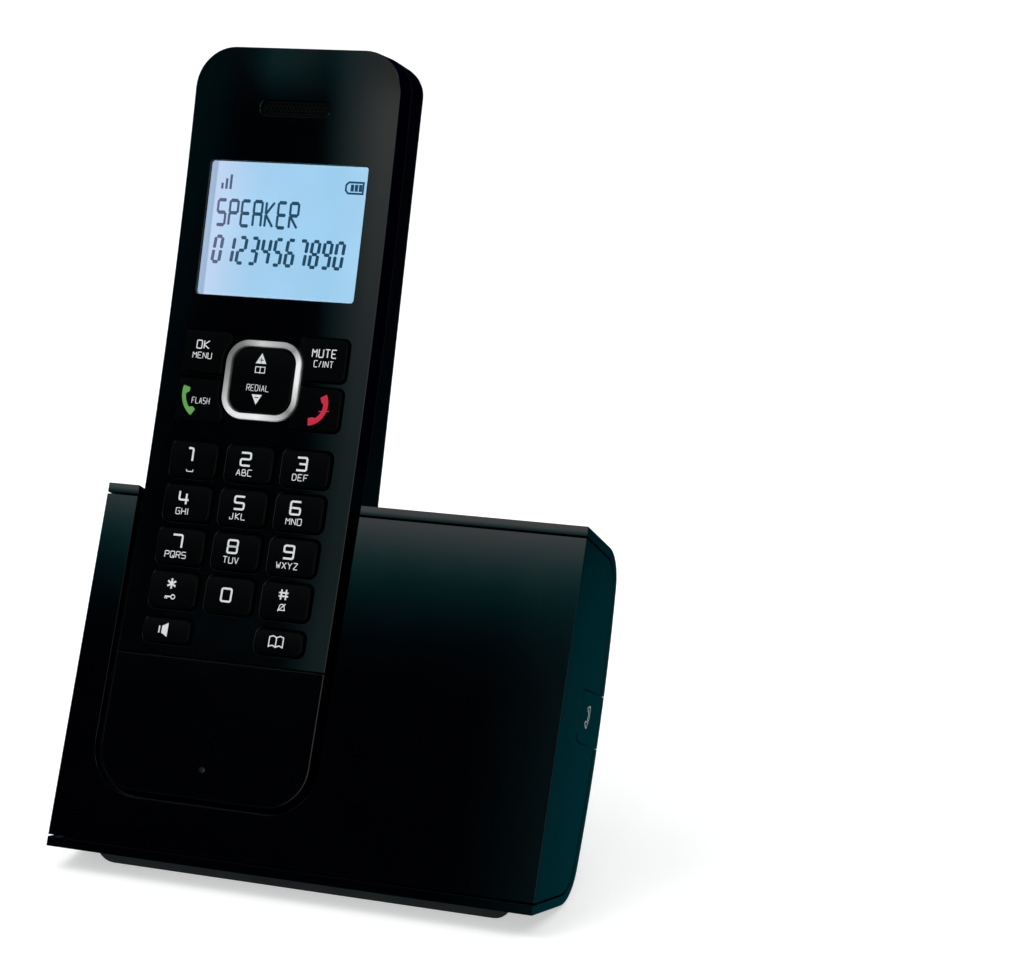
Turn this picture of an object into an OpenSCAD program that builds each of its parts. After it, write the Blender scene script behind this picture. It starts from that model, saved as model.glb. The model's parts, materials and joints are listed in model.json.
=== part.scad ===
// Cordless phone: a handset standing in the leaning base that charges it.
// Slab frame: X to the right, Y back from the front panel, Z up the slab. Millimetres.

/* [Base] */
// Width of the base
base_w = 110; // [104:1:120]
// Height of the base, measured up its leaning front
base_h = 78.8; // [77:0.2:84]
// Depth of the base at the middle of its bowed back
base_d = 25.6; // [25.2:0.1:28]
// Angle by which the base leans back
lean = 24; // [22:1:26]
// Thickness of the rear cover, which shows as a strip above and below the panel
band_t = 2; // [1.6:0.1:2.2]
// Gap between the rear cover and the front housing
band_gap = 0.4; // [0.2:0.1:0.5]
// Height of the front edge of the base above the desk
lift = 5.2; // [5:0.1:6]

/* [Cradle] */
// Width of the cut-out in the front panel
cut_w = 52.2; // [52:0.1:53]
// Distance from the middle of the base to the middle of the cut-out
cut_x = -21.5; // [-22:0.1:-21]
// Height of the bottom edge of the cut-out
cut_z = 12.4; // [12.3:0.1:12.5]
// Radius of the two bottom corners of the cut-out
cut_r = 11; // [10.8:0.1:11.2]

/* [Handset] */
// Width of the handset
phone_w = 49.3; // [48.5:0.1:50]
// Height of the top of the handset in its cradle
phone_top = 175.9; // [174:0.1:180]
// Height of the bottom of the handset in its cradle
phone_bottom = 13.4; // [13.4:0.1:13.6]
// Corner radius of the handset seen from the front
phone_r = 9.4; // [9.2:0.1:10.4]
// Height at which the hollow curve of the front starts
bend_z = 50; // [48:1:52]
// Radius of the hollow curve of the front
bend_r = 800; // [780:10:860]
// Height of the joint between the end cap and the upper shells
cap_z = 43; // [42.5:0.1:43.3]
// Depth of the front housing's side wall
front_d = 5; // [4.8:0.1:5.4]

/* [Keys] */
// Width of a dial key
key_w = 11.3; // [11:0.1:11.6]
// Height of a dial key
key_h = 8; // [7.8:0.1:8.2]
// Distance between key columns
key_dx = 13.1; // [13:0.05:13.2]
// Distance between key rows
key_dz = 9.4; // [9.3:0.05:9.5]
// Travel of a key
key_travel = 0.5; // [0.3:0.1:0.5]
// How far a key stands proud of the front
key_proud = 1; // [0.6:0.1:1.2]

/* [Display] */
// Width of the display window
window_w = 37.2; // [36:0.2:38]
// Height of the display window
window_h = 29.4; // [28:0.2:30]
// Height of the middle of the display window
window_z = 135.6; // [135:0.1:136]

/* [Hidden] */

$fn = 40;

// Colours
gloss = "#10161a";
satin = "#202326";
soft = "#2a2c2f";
metal = "#c9ccd0";
board_green = "#1f6b3a";
gold = "#c8a24a";

// Base outline: straight top and bottom edges, round corners and a bowed back
back_r = 208;
back_c = [base_d - back_r, base_h * 0.485];
top_slope = 5.3;
bottom_slope = 10.5;
top_corner_r = 8.5;
bottom_corner_r = 9;
side_wall = 2;
panel_t = 2.2;
side_x = base_w / 2;
shell_inset = band_t + band_gap;

// Cradle
cup_w = 51;
cup_wall = 1.5;
cup_floor = cut_z + 0.6;
cup_back = 18.4;
notch_z = 70.5;
contact_x = 9;
contact_y = 11;
contact_w = 2.4;

// Base fasteners and boards
boss_x = [11, 49.3];
boss_z = [12, 67];
boss_end = 19.4;
screw_seat = 21;
wire_hole_w = 12;
post_x = [14, 46];
post_z = [21, 58];
base_board_y = 12;
base_board_t = 1.6;

// Page button: its place on the right-hand side, and its travel
button_y = 11;
button_z = [36.4, 47];
button_t = 1.4;
button_gap = 0.25;
button_r = 2;

// Rear stand and sockets, in a frame level with the desk
stand_half = 42;
stand_front = 21;
stand_back = 48;
stand_top = 8.6;
stand_slope = 33;
stand_wall = 1.8;
pad_t = 0.8;
pad_x = 34;
pad_y = 43;
pad_r = 4;
foot_half = 47.5;
foot_y = [8, 13.5];
foot_r = 4;
jack_x = 20;
line_x = -16;
socket_d = 11.6;
socket_h = 8.4;
socket_board_t = 1.2;
stand_z = pad_t - lift;
socket_z = stand_z + stand_wall + socket_board_t;

// Handset shell
crown = 0.7;
phone_back = 18;
back_slope = 0.1176;
back_bend_z = 65.3;
back_bend_run = 14;
front_edge_r = 3;
back_edge_r = 5;
front_wall = 2;
phone_wall = 1.5;
cover_wall = 1.2;
seam = 0.3;

// Keys: gap round a key, its corner radius, its rim and the mat behind it
key_gap = 0.2;
key_r = 1.5;
rim = 0.42;
rim_y = front_wall + 0.15;
rim_t = 0.7;
mat_y = rim_y + rim_t + key_travel + 0.2;
mat_t = 0.5;
mat_half = 20.1;
row_z = [for (i = [0:3]) 85.1 - i * key_dz];
low_row_z = 48.2;
low_key_h = 5.4;

// Navigation ring and rocker, and the four soft keys round them
nav_z = 103.2;
ring_w = 17.7;
ring_h = 17.1;
ring_r = 5;
ring_band = 1.3;
ring_proud = 0.8;
rocker_gap = 0.3;
soft_x = [7.8, 19.3];
soft_h = 9.4;
soft_dz = 5.28;
soft_ring_gap = 0.55;

// Earpiece slot and loudspeaker slots
ear_z = 161.9;
ear_w = 16.4;
ear_h = 3.4;
slot_z = 103;
slot_w = 10.6;
slot_h = 20;
slot_t = 1.5;
slot_bridge = 1.8;

// Circuit board, battery tray and screws of the handset
board_t = 0.8;
board_half = 20;
board_z = [17, 171];
board_tilt = 2.12;
board_mid = 80;
board_mid_y = -crown - pow(board_mid - bend_z, 2) / (2 * bend_r) + mat_y + mat_t + 0.1;
cell_r = 5.1;
cell_l = 43.7;
cell_z = 67.5;
nub_l = 0.8;
tray_x = 11.2;
tray_wall = 1;
tray_half = 23.4;
ear_y = 3;
ear_t = 1.4;
ear_dz = 20;
screw_x = phone_w / 2 - phone_wall - 1.65;
ear_start = tray_x + tray_wall / 2;
ear_end = screw_x + 1.35;

// The top of the handset sets how far the phone reaches back
back_top_y = phone_back - back_slope * (phone_top - back_edge_r - back_bend_z) - back_edge_r;
depth = back_top_y * cos(lean) + (phone_top - back_edge_r) * sin(lean) + back_edge_r;

// ---------- helpers ----------

function arc(c, r, a0, a1, n) = [for (i = [0:n]) let (a = a0 + (a1 - a0) * i / n) c + r * [cos(a), sin(a)]];
function angle(v) = atan2(v[1], v[0]);

// Distance along a straight edge to the foot of a corner arc that touches the edge and the back curve
function corner_run(p, dir, nrm, r, big_r) = let (q = p + r * nrm - back_c, b = q * dir)
    sqrt(b * b - q * q + (big_r - r) * (big_r - r)) - b;

// Side outline of the base, moved inwards by i on every side but the front, which moves by front
function base_outline(i, front = 0) = let (
    bd = [cos(bottom_slope), sin(bottom_slope)], bn = [-sin(bottom_slope), cos(bottom_slope)],
    td = [cos(top_slope), -sin(top_slope)], tn = [-sin(top_slope), -cos(top_slope)],
    br = bottom_corner_r - i, tr = top_corner_r - i, big = back_r - i,
    b0 = [0, i / cos(bottom_slope)], t0 = [0, base_h - i / cos(top_slope)],
    bc = b0 + br * bn + corner_run(b0, bd, bn, br, big) * bd,
    tc = t0 + tr * tn + corner_run(t0, td, tn, tr, big) * td,
    ba = angle(bc - back_c), ta = angle(tc - back_c))
    concat([b0 + front * bd / bd[0]], arc(bc, br, bottom_slope - 90, ba, 8),
        arc(back_c, big, ba, ta, 14), arc(tc, tr, ta, 90 - top_slope, 8), [t0 + front * td / td[0]]);

function rect_points(w, h, r, n = 6) = concat(
    arc([w / 2 - r, h / 2 - r], r, 0, 90, n), arc([r - w / 2, h / 2 - r], r, 90, 180, n),
    arc([r - w / 2, r - h / 2], r, 180, 270, n), arc([w / 2 - r, r - h / 2], r, 270, 360, n));

// Depth and tilt of the handset's front, and depth of its back, at height z
function front_y(z) = -crown - (z > bend_z ? (z - bend_z) * (z - bend_z) / (2 * bend_r) : 0);
function tilt(z) = z > bend_z ? atan((z - bend_z) / bend_r) : 0;
function back_y(z) = let (t = z - back_bend_z)
    t <= -back_bend_run ? phone_back
    : t >= back_bend_run ? phone_back - back_slope * t
    : phone_back - back_slope * (t + back_bend_run) * (t + back_bend_run) / (4 * back_bend_run);
function board_y(z) = board_mid_y - tan(board_tilt) * (z - board_mid);

// Side outline of the handset, moved inwards by f at the front, b at the back and i at both ends
function phone_outline(i, f, b) = let (
    z0 = phone_bottom + i, z1 = phone_top - i,
    fr = max(front_edge_r - i, 0.5), br = max(back_edge_r - i, 0.5), run = z1 - z0)
    concat([for (k = [0:16]) let (z = z0 + fr + (run - 2 * fr) * k / 16) [front_y(z) + f, z]],
        arc([front_y(z1 - fr) + f + fr, z1 - fr], fr, 165, 90, 5),
        arc([back_y(z1 - br) - b - br, z1 - br], br, 90, 8, 6),
        [for (k = [0:16]) let (z = z1 - br - (run - 2 * br) * k / 16) [back_y(z) - b, z]],
        arc([back_y(z0 + br) - b - br, z0 + br], br, -15, -90, 5),
        arc([front_y(z0) + f + fr, z0 + fr], fr, 270, 195, 5));

// Layer that follows the handset's front, from y0 to y1 behind it
function front_layer(y0, y1, z0, z1) = concat(
    [for (k = [0:16]) let (z = z0 + (z1 - z0) * k / 16) [front_y(z) + y0, z]],
    [for (k = [16:-1:0]) let (z = z0 + (z1 - z0) * k / 16) [front_y(z) + y1, z]]);

module along_x(w) { translate([-w / 2, 0, 0]) rotate([90, 0, 90]) linear_extrude(w) children(); }
module along_y(y0, y1) { translate([0, y1, 0]) rotate([90, 0, 0]) linear_extrude(y1 - y0) children(); }
module pin_y(r, y0, y1) { translate([0, y0, 0]) rotate([-90, 0, 0]) cylinder(r = r, h = y1 - y0); }
module rounded(w, h, r) { polygon(rect_points(w, h, r)); }

// From the slab frame to the desk, with the middle of the whole phone at X = 0, Y = 0
module level() { translate([0, -depth / 2, lift]) children(); }
module placed() { level() rotate([-lean, 0, 0]) children(); }
module phone() { placed() translate([cut_x, 0, 0]) children(); }
// A place on the handset's front, with the surface at Y = 0
module on_front(x, z) { translate([x, front_y(z), z]) rotate([tilt(z), 0, 0]) children(); }
// A place on the back of the handset's circuit board, with the board's back at Y = 0
module on_board(z) { translate([0, board_y(z) + board_t, z]) rotate([board_tilt, 0, 0]) children(); }

// ---------- base ----------

module base_solid(i = 0, w = base_w, front = 0) { along_x(w) polygon(base_outline(i, front)); }

// U-shaped outline of the cradle, open at the top
module cradle_2d(w, z0, r) {
    top = base_h + 5;
    translate([cut_x, 0]) polygon(concat([[w / 2, top], [-w / 2, top]],
        arc([r - w / 2, z0 + r], r, 180, 270, 10), arc([w / 2 - r, z0 + r], r, 270, 360, 10)));
}

module at_bosses() { for (x = boss_x, z = boss_z) translate([x, 0, z]) children(); }

// Side view of the page button, grown by g, from x0 to x1
module button_block(g, x0, x1) {
    h = button_z[1] - button_z[0] + 2 * g;
    translate([(x0 + x1) / 2, button_y + 12, (button_z[0] + button_z[1]) / 2])
        along_x(x1 - x0) rounded(24 + 2 * g, h, button_r);
}

module base_front_housing() color(gloss) placed() difference() {
    union() {
        difference() {
            base_solid(shell_inset);
            translate([side_wall - side_x, panel_t, -1]) cube([base_w - 2 * side_wall, base_d, base_h + 2]);
        }
        at_bosses() pin_y(3.2, panel_t - 0.5, boss_end);
        for (x = post_x, z = post_z) translate([x, 0, z]) pin_y(2, panel_t - 0.5, base_board_y);
    }
    along_y(-1, panel_t + 1) cradle_2d(cut_w, cut_z, cut_r);
    at_bosses() pin_y(1.45, 8, boss_end + 1);
    button_block(button_gap, side_x - side_wall - 0.5, side_x + 1);
}

module base_rear_cover() color(satin) placed() difference() {
    union() {
        difference() {
            base_solid();
            base_solid(band_t, base_w + 2, -1);
        }
        intersection() {
            base_solid();
            at_bosses() pin_y(4.2, boss_end + 0.2, base_d + 2);
        }
    }
    translate([cut_x - cut_w / 2, -1, notch_z]) cube([cut_w, base_d + 2, 20]);
    at_bosses() pin_y(1.6, boss_end - 1, base_d + 3);
    at_bosses() pin_y(3, screw_seat, base_d + 3);
    button_block(button_gap, side_x - side_wall - 0.3, side_x + 1);
    translate([-wire_hole_w / 2, base_d - 8, 12]) cube([wire_hole_w, 12, 7]);
}

module cradle_cup() color(soft) placed() intersection() {
    base_solid(shell_inset + 0.1);
    difference() {
        along_y(panel_t + 0.1, cup_back + cup_wall) cradle_2d(cup_w + 2 * cup_wall, cup_floor - cup_wall, cut_r);
        along_y(panel_t - 1, cup_back) cradle_2d(cup_w, cup_floor, cut_r - 0.6);
        translate([cut_x - cup_w / 2, cup_back - 1, notch_z - 0.5]) cube([cup_w, 6, 20]);
        for (s = [-1, 1]) translate([cut_x + s * contact_x - 1.6, contact_y - 3.2, cup_floor - 3]) cube([3.2, 6.4, 5]);
    }
}

module cradle_contacts() color(gold) placed() for (s = [-1, 1])
    translate([cut_x + s * contact_x, contact_y, 0]) along_x(contact_w)
        polygon([[-2.4, 8], [-2.4, 12.6], [-0.8, 15], [0.8, 15], [2.4, 12.6], [2.4, 8],
            [2, 8], [2, 12.45], [0.6, 14.6], [-0.6, 14.6], [-2, 12.45], [-2, 8]]);

module front_foot() color(soft) difference() {
    level() along_y(foot_y[0], foot_y[1]) polygon(concat([[foot_half, 0], [-foot_half, 0]],
        arc([foot_r - foot_half, foot_r - lift], foot_r, 180, 270, 6),
        arc([foot_half - foot_r, foot_r - lift], foot_r, 270, 360, 6)));
    placed() base_solid(0, base_w + 2);
}

// Side outline of the rear stand, moved inwards by i
function stand_outline(i) = let (y1 = stand_back - i, rise = tan(stand_slope))
    [[stand_front, stand_z + i], [y1, stand_z + i], [y1, stand_top + i * rise - i / cos(stand_slope)],
        [stand_front, stand_top + (stand_back - stand_front) * rise - i / cos(stand_slope)]];

module rear_stand() color(satin) difference() {
    level() difference() {
        along_x(2 * stand_half) polygon(stand_outline(0));
        along_x(2 * (stand_half - stand_wall)) polygon(stand_outline(stand_wall));
        translate([jack_x - 4.6, stand_back - 4, socket_z - 0.1]) cube([9.2, 6, socket_h + 0.2]);
        translate([line_x - 5.8, stand_back - 4, socket_z - 0.1]) cube([11.6, 6, socket_h + 0.2]);
    }
    placed() base_solid(0, base_w + 2);
}

module rear_feet() color(soft) level() for (s = [-1, 1])
    translate([s * pad_x, pad_y, -lift]) cylinder(r = pad_r, h = pad_t);

module power_jack() color(satin) level() translate([jack_x, stand_back - socket_d - 0.4, socket_z]) {
    difference() {
        translate([-4.5, 0, 0]) cube([9, socket_d, socket_h]);
        translate([0, 0, socket_h / 2]) pin_y(2.8, 2, socket_d + 1);
    }
    translate([0, 0, socket_h / 2]) pin_y(1, 1.9, socket_d - 1);
}

module line_socket() color(satin) level() translate([line_x, stand_back - socket_d - 0.4, socket_z]) difference() {
    translate([-5.7, 0, 0]) cube([11.4, socket_d, socket_h]);
    translate([-4.8, 2, 1.4]) cube([9.6, socket_d, 5.8]);
    translate([-1.6, 2, 0.6]) cube([3.2, socket_d, 2]);
}

module socket_board() color(board_green) level()
    translate([line_x - 8, stand_back - 14, stand_z + stand_wall]) cube([jack_x - line_x + 15, 12, socket_board_t]);

// The button's cap reaches round to the back; its rim is held behind the side wall
module page_button() color(gloss) placed() {
    intersection() {
        base_solid();
        button_block(0, side_x - button_t, side_x);
    }
    intersection() {
        base_solid(shell_inset + 0.4);
        union() {
            button_block(-0.4, side_x - side_wall - 0.4, side_x - button_t);
            button_block(0.7, side_x - side_wall - 1.2, side_x - side_wall - 0.4);
        }
    }
}

module page_switch() color(metal) placed()
    translate([47.6, base_board_y + base_board_t, 38.7]) cube([3.3, 6, 6]);

module base_circuit_board() color(board_green) placed() translate([9, base_board_y, 17]) cube([41.8, base_board_t, 45]);

module radio_shield() color(metal) placed() translate([17, base_board_y - 2.4, 36]) cube([18, 2.4, 17]);

module antennas() color(gold) placed() for (x = [22, 38])
    translate([x, base_board_y + 0.8, 62]) cylinder(r = 0.5, h = 11);

// Cross recess in a screw head that faces back, at y
module cross_recess(y, w) {
    for (a = [0, 90]) translate([0, y, 0]) rotate([0, a, 0]) cube([w, 1.2, w / 4], center = true);
}

module base_screws() color(metal) placed() at_bosses() difference() {
    union() {
        pin_y(1.4, 10, screw_seat);
        pin_y(2.7, screw_seat, screw_seat + 1.2);
    }
    cross_recess(screw_seat + 1.2, 3.2);
}

// ---------- handset ----------

// The handset's outer shape, or the space inside its walls
module phone_solid() { phone_block(0, 0, 0); }
module phone_space() { phone_block(phone_wall, front_wall, cover_wall); }
module phone_block(i, f, b) {
    intersection() {
        along_x(phone_w - 2 * i) polygon(phone_outline(i, f, b));
        translate([0, 0, (phone_top + phone_bottom) / 2]) along_y(-20, 30)
            rounded(phone_w - 2 * i, phone_top - phone_bottom - 2 * i, phone_r - i);
    }
}

module slice(z0, z1) { translate([-40, -20, z0]) cube([80, 60, z1 - z0]); }

// Outline of a soft key grown by g; sx and sz are its side of the ring
module soft_2d(sx, sz, g) {
    difference() {
        translate([sx * (soft_x[0] + soft_x[1]) / 2, sz * soft_dz])
            rounded(soft_x[1] - soft_x[0] + 2 * g, soft_h + 2 * g, key_r + g);
        rounded(ring_w + 2 * (soft_ring_gap - g), ring_h + 2 * (soft_ring_gap - g), ring_r + soft_ring_gap - g);
    }
}

module soft_key(sx, sz) {
    color(gloss) phone() on_front(0, nav_z) {
        along_y(-key_proud, rim_y + rim_t) soft_2d(sx, sz, 0);
        along_y(rim_y, rim_y + rim_t) soft_2d(sx, sz, rim);
    }
}

// column is -1, 0 or 1
module pad_key(column, z, h = key_h) {
    color(gloss) phone() on_front(column * key_dx, z) {
        along_y(-key_proud, rim_y + rim_t) rounded(key_w, h, key_r);
        along_y(rim_y, rim_y + rim_t) rounded(key_w + 2 * rim, h + 2 * rim, key_r + rim);
    }
}

module pad_hole(column, z, h = key_h) {
    on_front(column * key_dx, z) along_y(-3, front_wall + 2)
        rounded(key_w + 2 * key_gap, h + 2 * key_gap, key_r + key_gap);
}

module key_holes() {
    for (c = [-1:1], z = row_z) pad_hole(c, z);
    for (c = [-1, 1]) pad_hole(c, low_row_z, low_key_h);
    on_front(0, nav_z) along_y(-3, front_wall + 2) {
        rounded(ring_w + 0.1, ring_h + 0.1, ring_r);
        for (sx = [-1, 1], sz = [-1, 1]) soft_2d(sx, sz, key_gap);
    }
}

module stadium(w, h) { rounded(w, h, h / 2 - 0.01); }

module at_handset_screws() {
    for (x = [-screw_x, screw_x], z = [cell_z - ear_dz, cell_z + ear_dz])
        translate([x, board_y(z) + board_t + ear_y, z]) children();
}

module handset_front_housing() color(gloss) phone() difference() {
    union() {
        intersection() {
            difference() {
                phone_solid();
                phone_space();
            }
            along_x(phone_w + 2) polygon(front_layer(-3, front_d, cap_z, phone_top + 2));
        }
        intersection() {
            at_handset_screws() pin_y(1.45, -10, -0.3);
            along_x(phone_w) polygon(front_layer(front_wall - 0.5, 20, cap_z, phone_top));
        }
    }
    key_holes();
    on_front(0, window_z) along_y(-3, front_wall + 2) rounded(window_w, window_h, 0.8);
    on_front(0, ear_z) along_y(-3, front_wall + 2) stadium(ear_w, ear_h);
    at_handset_screws() pin_y(0.75, -6, 1);
}

module handset_end_cap() color(gloss) phone() difference() {
    phone_solid();
    phone_space();
    slice(cap_z - seam, 200);
    for (s = [-1, 1]) translate([s * contact_x - 1.8, contact_y - 3.7, phone_bottom - 1]) cube([3.6, 7.4, 4]);
    on_front(0, 20) pin_y(0.6, -1, front_wall + 1);
}

module handset_back_cover() color(satin) phone() difference() {
    phone_solid();
    phone_space();
    along_x(phone_w + 2) polygon(front_layer(-10, front_d + 0.15, cap_z - 40, phone_top + 5));
    slice(0, cap_z);
    translate([0, 0, slot_z]) along_y(8, 20) difference() {
        rounded(slot_w, slot_h, 3);
        rounded(slot_w - 2 * slot_t, slot_h - 2 * slot_t, 3 - slot_t);
        square([slot_bridge, slot_h + 2], center = true);
    }
}

module display_window() color("#9fc4e0") phone() on_front(0, window_z)
    along_y(0.35, 1.85) rounded(window_w - 0.2, window_h - 0.2, 0.7);

module lcd_module() color("#a5d2f0") phone() on_front(0, window_z)
    translate([-20.5, front_wall + 0.05, -17]) cube([41, 2.5, 34]);

module navigation_ring() color(metal) phone() on_front(0, nav_z) along_y(-ring_proud, front_wall) difference() {
    rounded(ring_w, ring_h, ring_r);
    rounded(ring_w - 2 * ring_band, ring_h - 2 * ring_band, ring_r - ring_band);
}

module navigation_key() color(gloss) phone() on_front(0, nav_z) {
    cut = 2 * (ring_band + rocker_gap);
    along_y(-ring_proud + 0.2, front_wall + 1) rounded(ring_w - cut, ring_h - cut, ring_r - cut / 2);
    along_y(front_wall + 0.4, front_wall + 1) rounded(ring_w - 1.2, ring_h - 1.2, ring_r - 0.6);
}

module ok_key() { soft_key(-1, 1); }
module mute_key() { soft_key(1, 1); }
module talk_key() { soft_key(-1, -1); }
module hang_up_key() { soft_key(1, -1); }
module key_1() { pad_key(-1, row_z[0]); }
module key_2() { pad_key(0, row_z[0]); }
module key_3() { pad_key(1, row_z[0]); }
module key_4() { pad_key(-1, row_z[1]); }
module key_5() { pad_key(0, row_z[1]); }
module key_6() { pad_key(1, row_z[1]); }
module key_7() { pad_key(-1, row_z[2]); }
module key_8() { pad_key(0, row_z[2]); }
module key_9() { pad_key(1, row_z[2]); }
module key_star() { pad_key(-1, row_z[3]); }
module key_0() { pad_key(0, row_z[3]); }
module key_hash() { pad_key(1, row_z[3]); }
module speaker_key() { pad_key(-1, low_row_z, low_key_h); }
module phonebook_key() { pad_key(1, low_row_z, low_key_h); }

module keypad_mat() color("#5a5e62") phone()
    along_x(2 * mat_half) polygon(front_layer(mat_y, mat_y + mat_t, 44.5, 114.5));

module handset_circuit_board() color(board_green) phone() along_x(2 * board_half)
    polygon([for (z = board_z) [board_y(z), z], for (z = [board_z[1], board_z[0]]) [board_y(z) + board_t, z]]);

module earpiece_grille() color(satin) phone() on_front(0, ear_z) along_y(0.7, 1.5) stadium(ear_w - 0.2, ear_h - 0.2);

module earpiece_speaker() color(metal) phone() on_front(0, ear_z) pin_y(6.8, front_wall + 0.1, front_wall + 3.1);

module loudspeaker() color(metal) phone()
    translate([0, back_y(slot_z) - cover_wall - 0.4, slot_z]) rotate([atan(back_slope), 0, 0]) {
        pin_y(11.2, -3, 0);
        pin_y(7, -5, -3);
    }

module microphone() color(metal) phone() on_front(0, 20) pin_y(2, front_wall + 0.1, front_wall + 2);

module battery_tray() color(soft) phone() difference() {
    on_board(cell_z) {
        for (s = [-1, 1]) translate([s * (tray_x + tray_wall / 2), 4.4, 0])
            cube([tray_wall, 8, 2 * tray_half], center = true);
        for (s = [-1, 1]) translate([0, 2.4, s * (tray_half + tray_wall / 2)])
            cube([2 * (tray_x + tray_wall), 4, tray_wall], center = true);
        for (s = [-1, 1], t = [-1, 1]) translate([s * (ear_start + ear_end) / 2, ear_y + ear_t / 2, t * ear_dz])
            cube([ear_end - ear_start, ear_t, 4], center = true);
    }
    at_handset_screws() pin_y(0.85, -2, 4);
}

module battery_cells() color("#3c7f5b") phone() on_board(cell_z) for (s = [-1, 1])
    translate([s * (cell_r + 0.2), 0.15 + cell_r, 0]) {
        cylinder(r = cell_r, h = cell_l, center = true);
        translate([0, 0, s * (cell_l + nub_l) / 2]) cylinder(r = 1.9, h = nub_l, center = true);
    }

module battery_springs() color(metal) phone() on_board(cell_z) for (s = [-1, 1], t = [-1, 1])
    translate([s * (cell_r + 0.2), 0.15 + cell_r, t * (cell_l / 2 + nub_l + 0.35)]) cube([7, 6, 0.3], center = true);

module handset_contacts() color(gold) phone() for (s = [-1, 1]) {
    leg = board_y(board_z[0]) + board_t + 0.1;
    translate([s * contact_x - 1.5, leg, phone_bottom + 1.9]) cube([3, contact_y + 3.2 - leg, 0.4]);
    translate([s * contact_x - 1.5, leg, phone_bottom + 1.9]) cube([3, 0.4, 8]);
}

module handset_screws() color(metal) phone() at_handset_screws() difference() {
    union() {
        pin_y(0.7, -4.5, ear_t + 0.2);
        pin_y(1.3, ear_t + 0.2, ear_t + 1.1);
    }
    cross_recess(ear_t + 1.1, 1.8);
}

base_front_housing();
base_rear_cover();
cradle_cup();
front_foot();
rear_stand();
rear_feet();
page_button();
page_switch();
base_circuit_board();
radio_shield();
antennas();
cradle_contacts();
power_jack();
line_socket();
socket_board();
base_screws();
handset_front_housing();
handset_end_cap();
handset_back_cover();
display_window();
lcd_module();
navigation_ring();
navigation_key();
ok_key();
mute_key();
talk_key();
hang_up_key();
key_1();
key_2();
key_3();
key_4();
key_5();
key_6();
key_7();
key_8();
key_9();
key_star();
key_0();
key_hash();
speaker_key();
phonebook_key();
keypad_mat();
handset_circuit_board();
earpiece_grille();
earpiece_speaker();
loudspeaker();
microphone();
battery_tray();
battery_cells();
battery_springs();
handset_contacts();
handset_screws();
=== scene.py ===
import json
from math import asin, atan, atan2, copysign, cos, degrees, hypot, pi, radians, sin, sqrt, tan

import bmesh
import bpy
import numpy as np
from mathutils import Matrix, Vector
from mathutils.geometry import delaunay_2d_cdt


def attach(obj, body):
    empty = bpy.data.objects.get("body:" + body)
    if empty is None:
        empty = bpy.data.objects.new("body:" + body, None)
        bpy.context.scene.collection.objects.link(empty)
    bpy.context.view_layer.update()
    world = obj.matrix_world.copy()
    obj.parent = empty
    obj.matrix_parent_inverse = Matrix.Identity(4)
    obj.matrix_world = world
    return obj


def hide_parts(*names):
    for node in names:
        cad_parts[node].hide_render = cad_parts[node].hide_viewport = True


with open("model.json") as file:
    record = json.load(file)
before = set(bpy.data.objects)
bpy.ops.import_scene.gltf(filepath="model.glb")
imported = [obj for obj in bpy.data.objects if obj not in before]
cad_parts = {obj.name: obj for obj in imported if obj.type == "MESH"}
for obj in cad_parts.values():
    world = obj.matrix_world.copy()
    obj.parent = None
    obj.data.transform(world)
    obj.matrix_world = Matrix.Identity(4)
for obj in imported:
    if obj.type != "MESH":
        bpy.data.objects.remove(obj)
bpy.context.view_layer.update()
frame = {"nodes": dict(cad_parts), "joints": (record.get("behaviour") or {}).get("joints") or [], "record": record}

NODES = frame["nodes"]
BODIES = frame["record"]["behaviour"]["bodies"]
BODY_OF = {node: body for body, members in BODIES.items() for node in members}
JOINTS = {joint["name"]: joint for joint in frame["joints"]}
MM = 0.001

# ---------- places, read from the frame ----------

# The slab frame leans back with the base: X right, Y back from the panel, Z up the slab, in millimetres.
lift_axis = Vector(JOINTS["handset_lift"]["axis"])
LEAN = atan2(lift_axis.y, lift_axis.z)


def turned_x(angle):
    return Matrix.Rotation(radians(angle), 4, "X")


def moved(x=0.0, y=0.0, z=0.0):
    return Matrix.Translation((x, y, z))


def box_in(place, node):
    """Lowest and highest corner of a CAD node in the millimetres of a frame."""
    inverse = place.inverted()
    points = [inverse @ v.co for v in NODES[node].data.vertices]
    return (Vector([min(p[i] for p in points) for i in range(3)]),
            Vector([max(p[i] for p in points) for i in range(3)]))


LEVEL = Matrix.Scale(MM, 4)
LEANING = LEVEL @ Matrix.Rotation(-LEAN, 4, "X")
cover_lo, cover_hi = box_in(LEANING, "base_rear_cover")
SLAB = LEANING @ moved(0, cover_lo.y, cover_lo.z)

shell_lo, shell_hi = box_in(SLAB, "handset_front_housing")
cap_lo, cap_hi = box_in(SLAB, "handset_end_cap")
PHONE = SLAB @ moved((shell_lo.x + shell_hi.x) / 2)
PHONE_HALF = (shell_hi.x - shell_lo.x) / 2
# The edge here is sharper than the CAD's, so its corner lies lower to keep the same height
PHONE_TOP = shell_hi.z - 0.75
PHONE_BOTTOM = cap_lo.z
SEAM_TOP = shell_lo.z
SEAM_BOTTOM = cap_hi.z

# The handset's hollow front, its straight and bent back, and its walls
CROWN = 0.7
BEND_Z = 50.0
BEND_R = 800.0
BACK_Y = 18.0
BACK_SLOPE = 0.1176
BACK_BEND = 65.3
BACK_RUN = 14.0
PHONE_R = 9.4
FRONT_WALL = 2.0
SIDE_WALL = 1.5
BACK_WALL = 1.2
FRONT_DEPTH = 5.0
SEAM_GAP = 0.15
KEY_PROUD = 1.0
RING_PROUD = 0.8
KEY_GAP = 0.2
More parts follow.
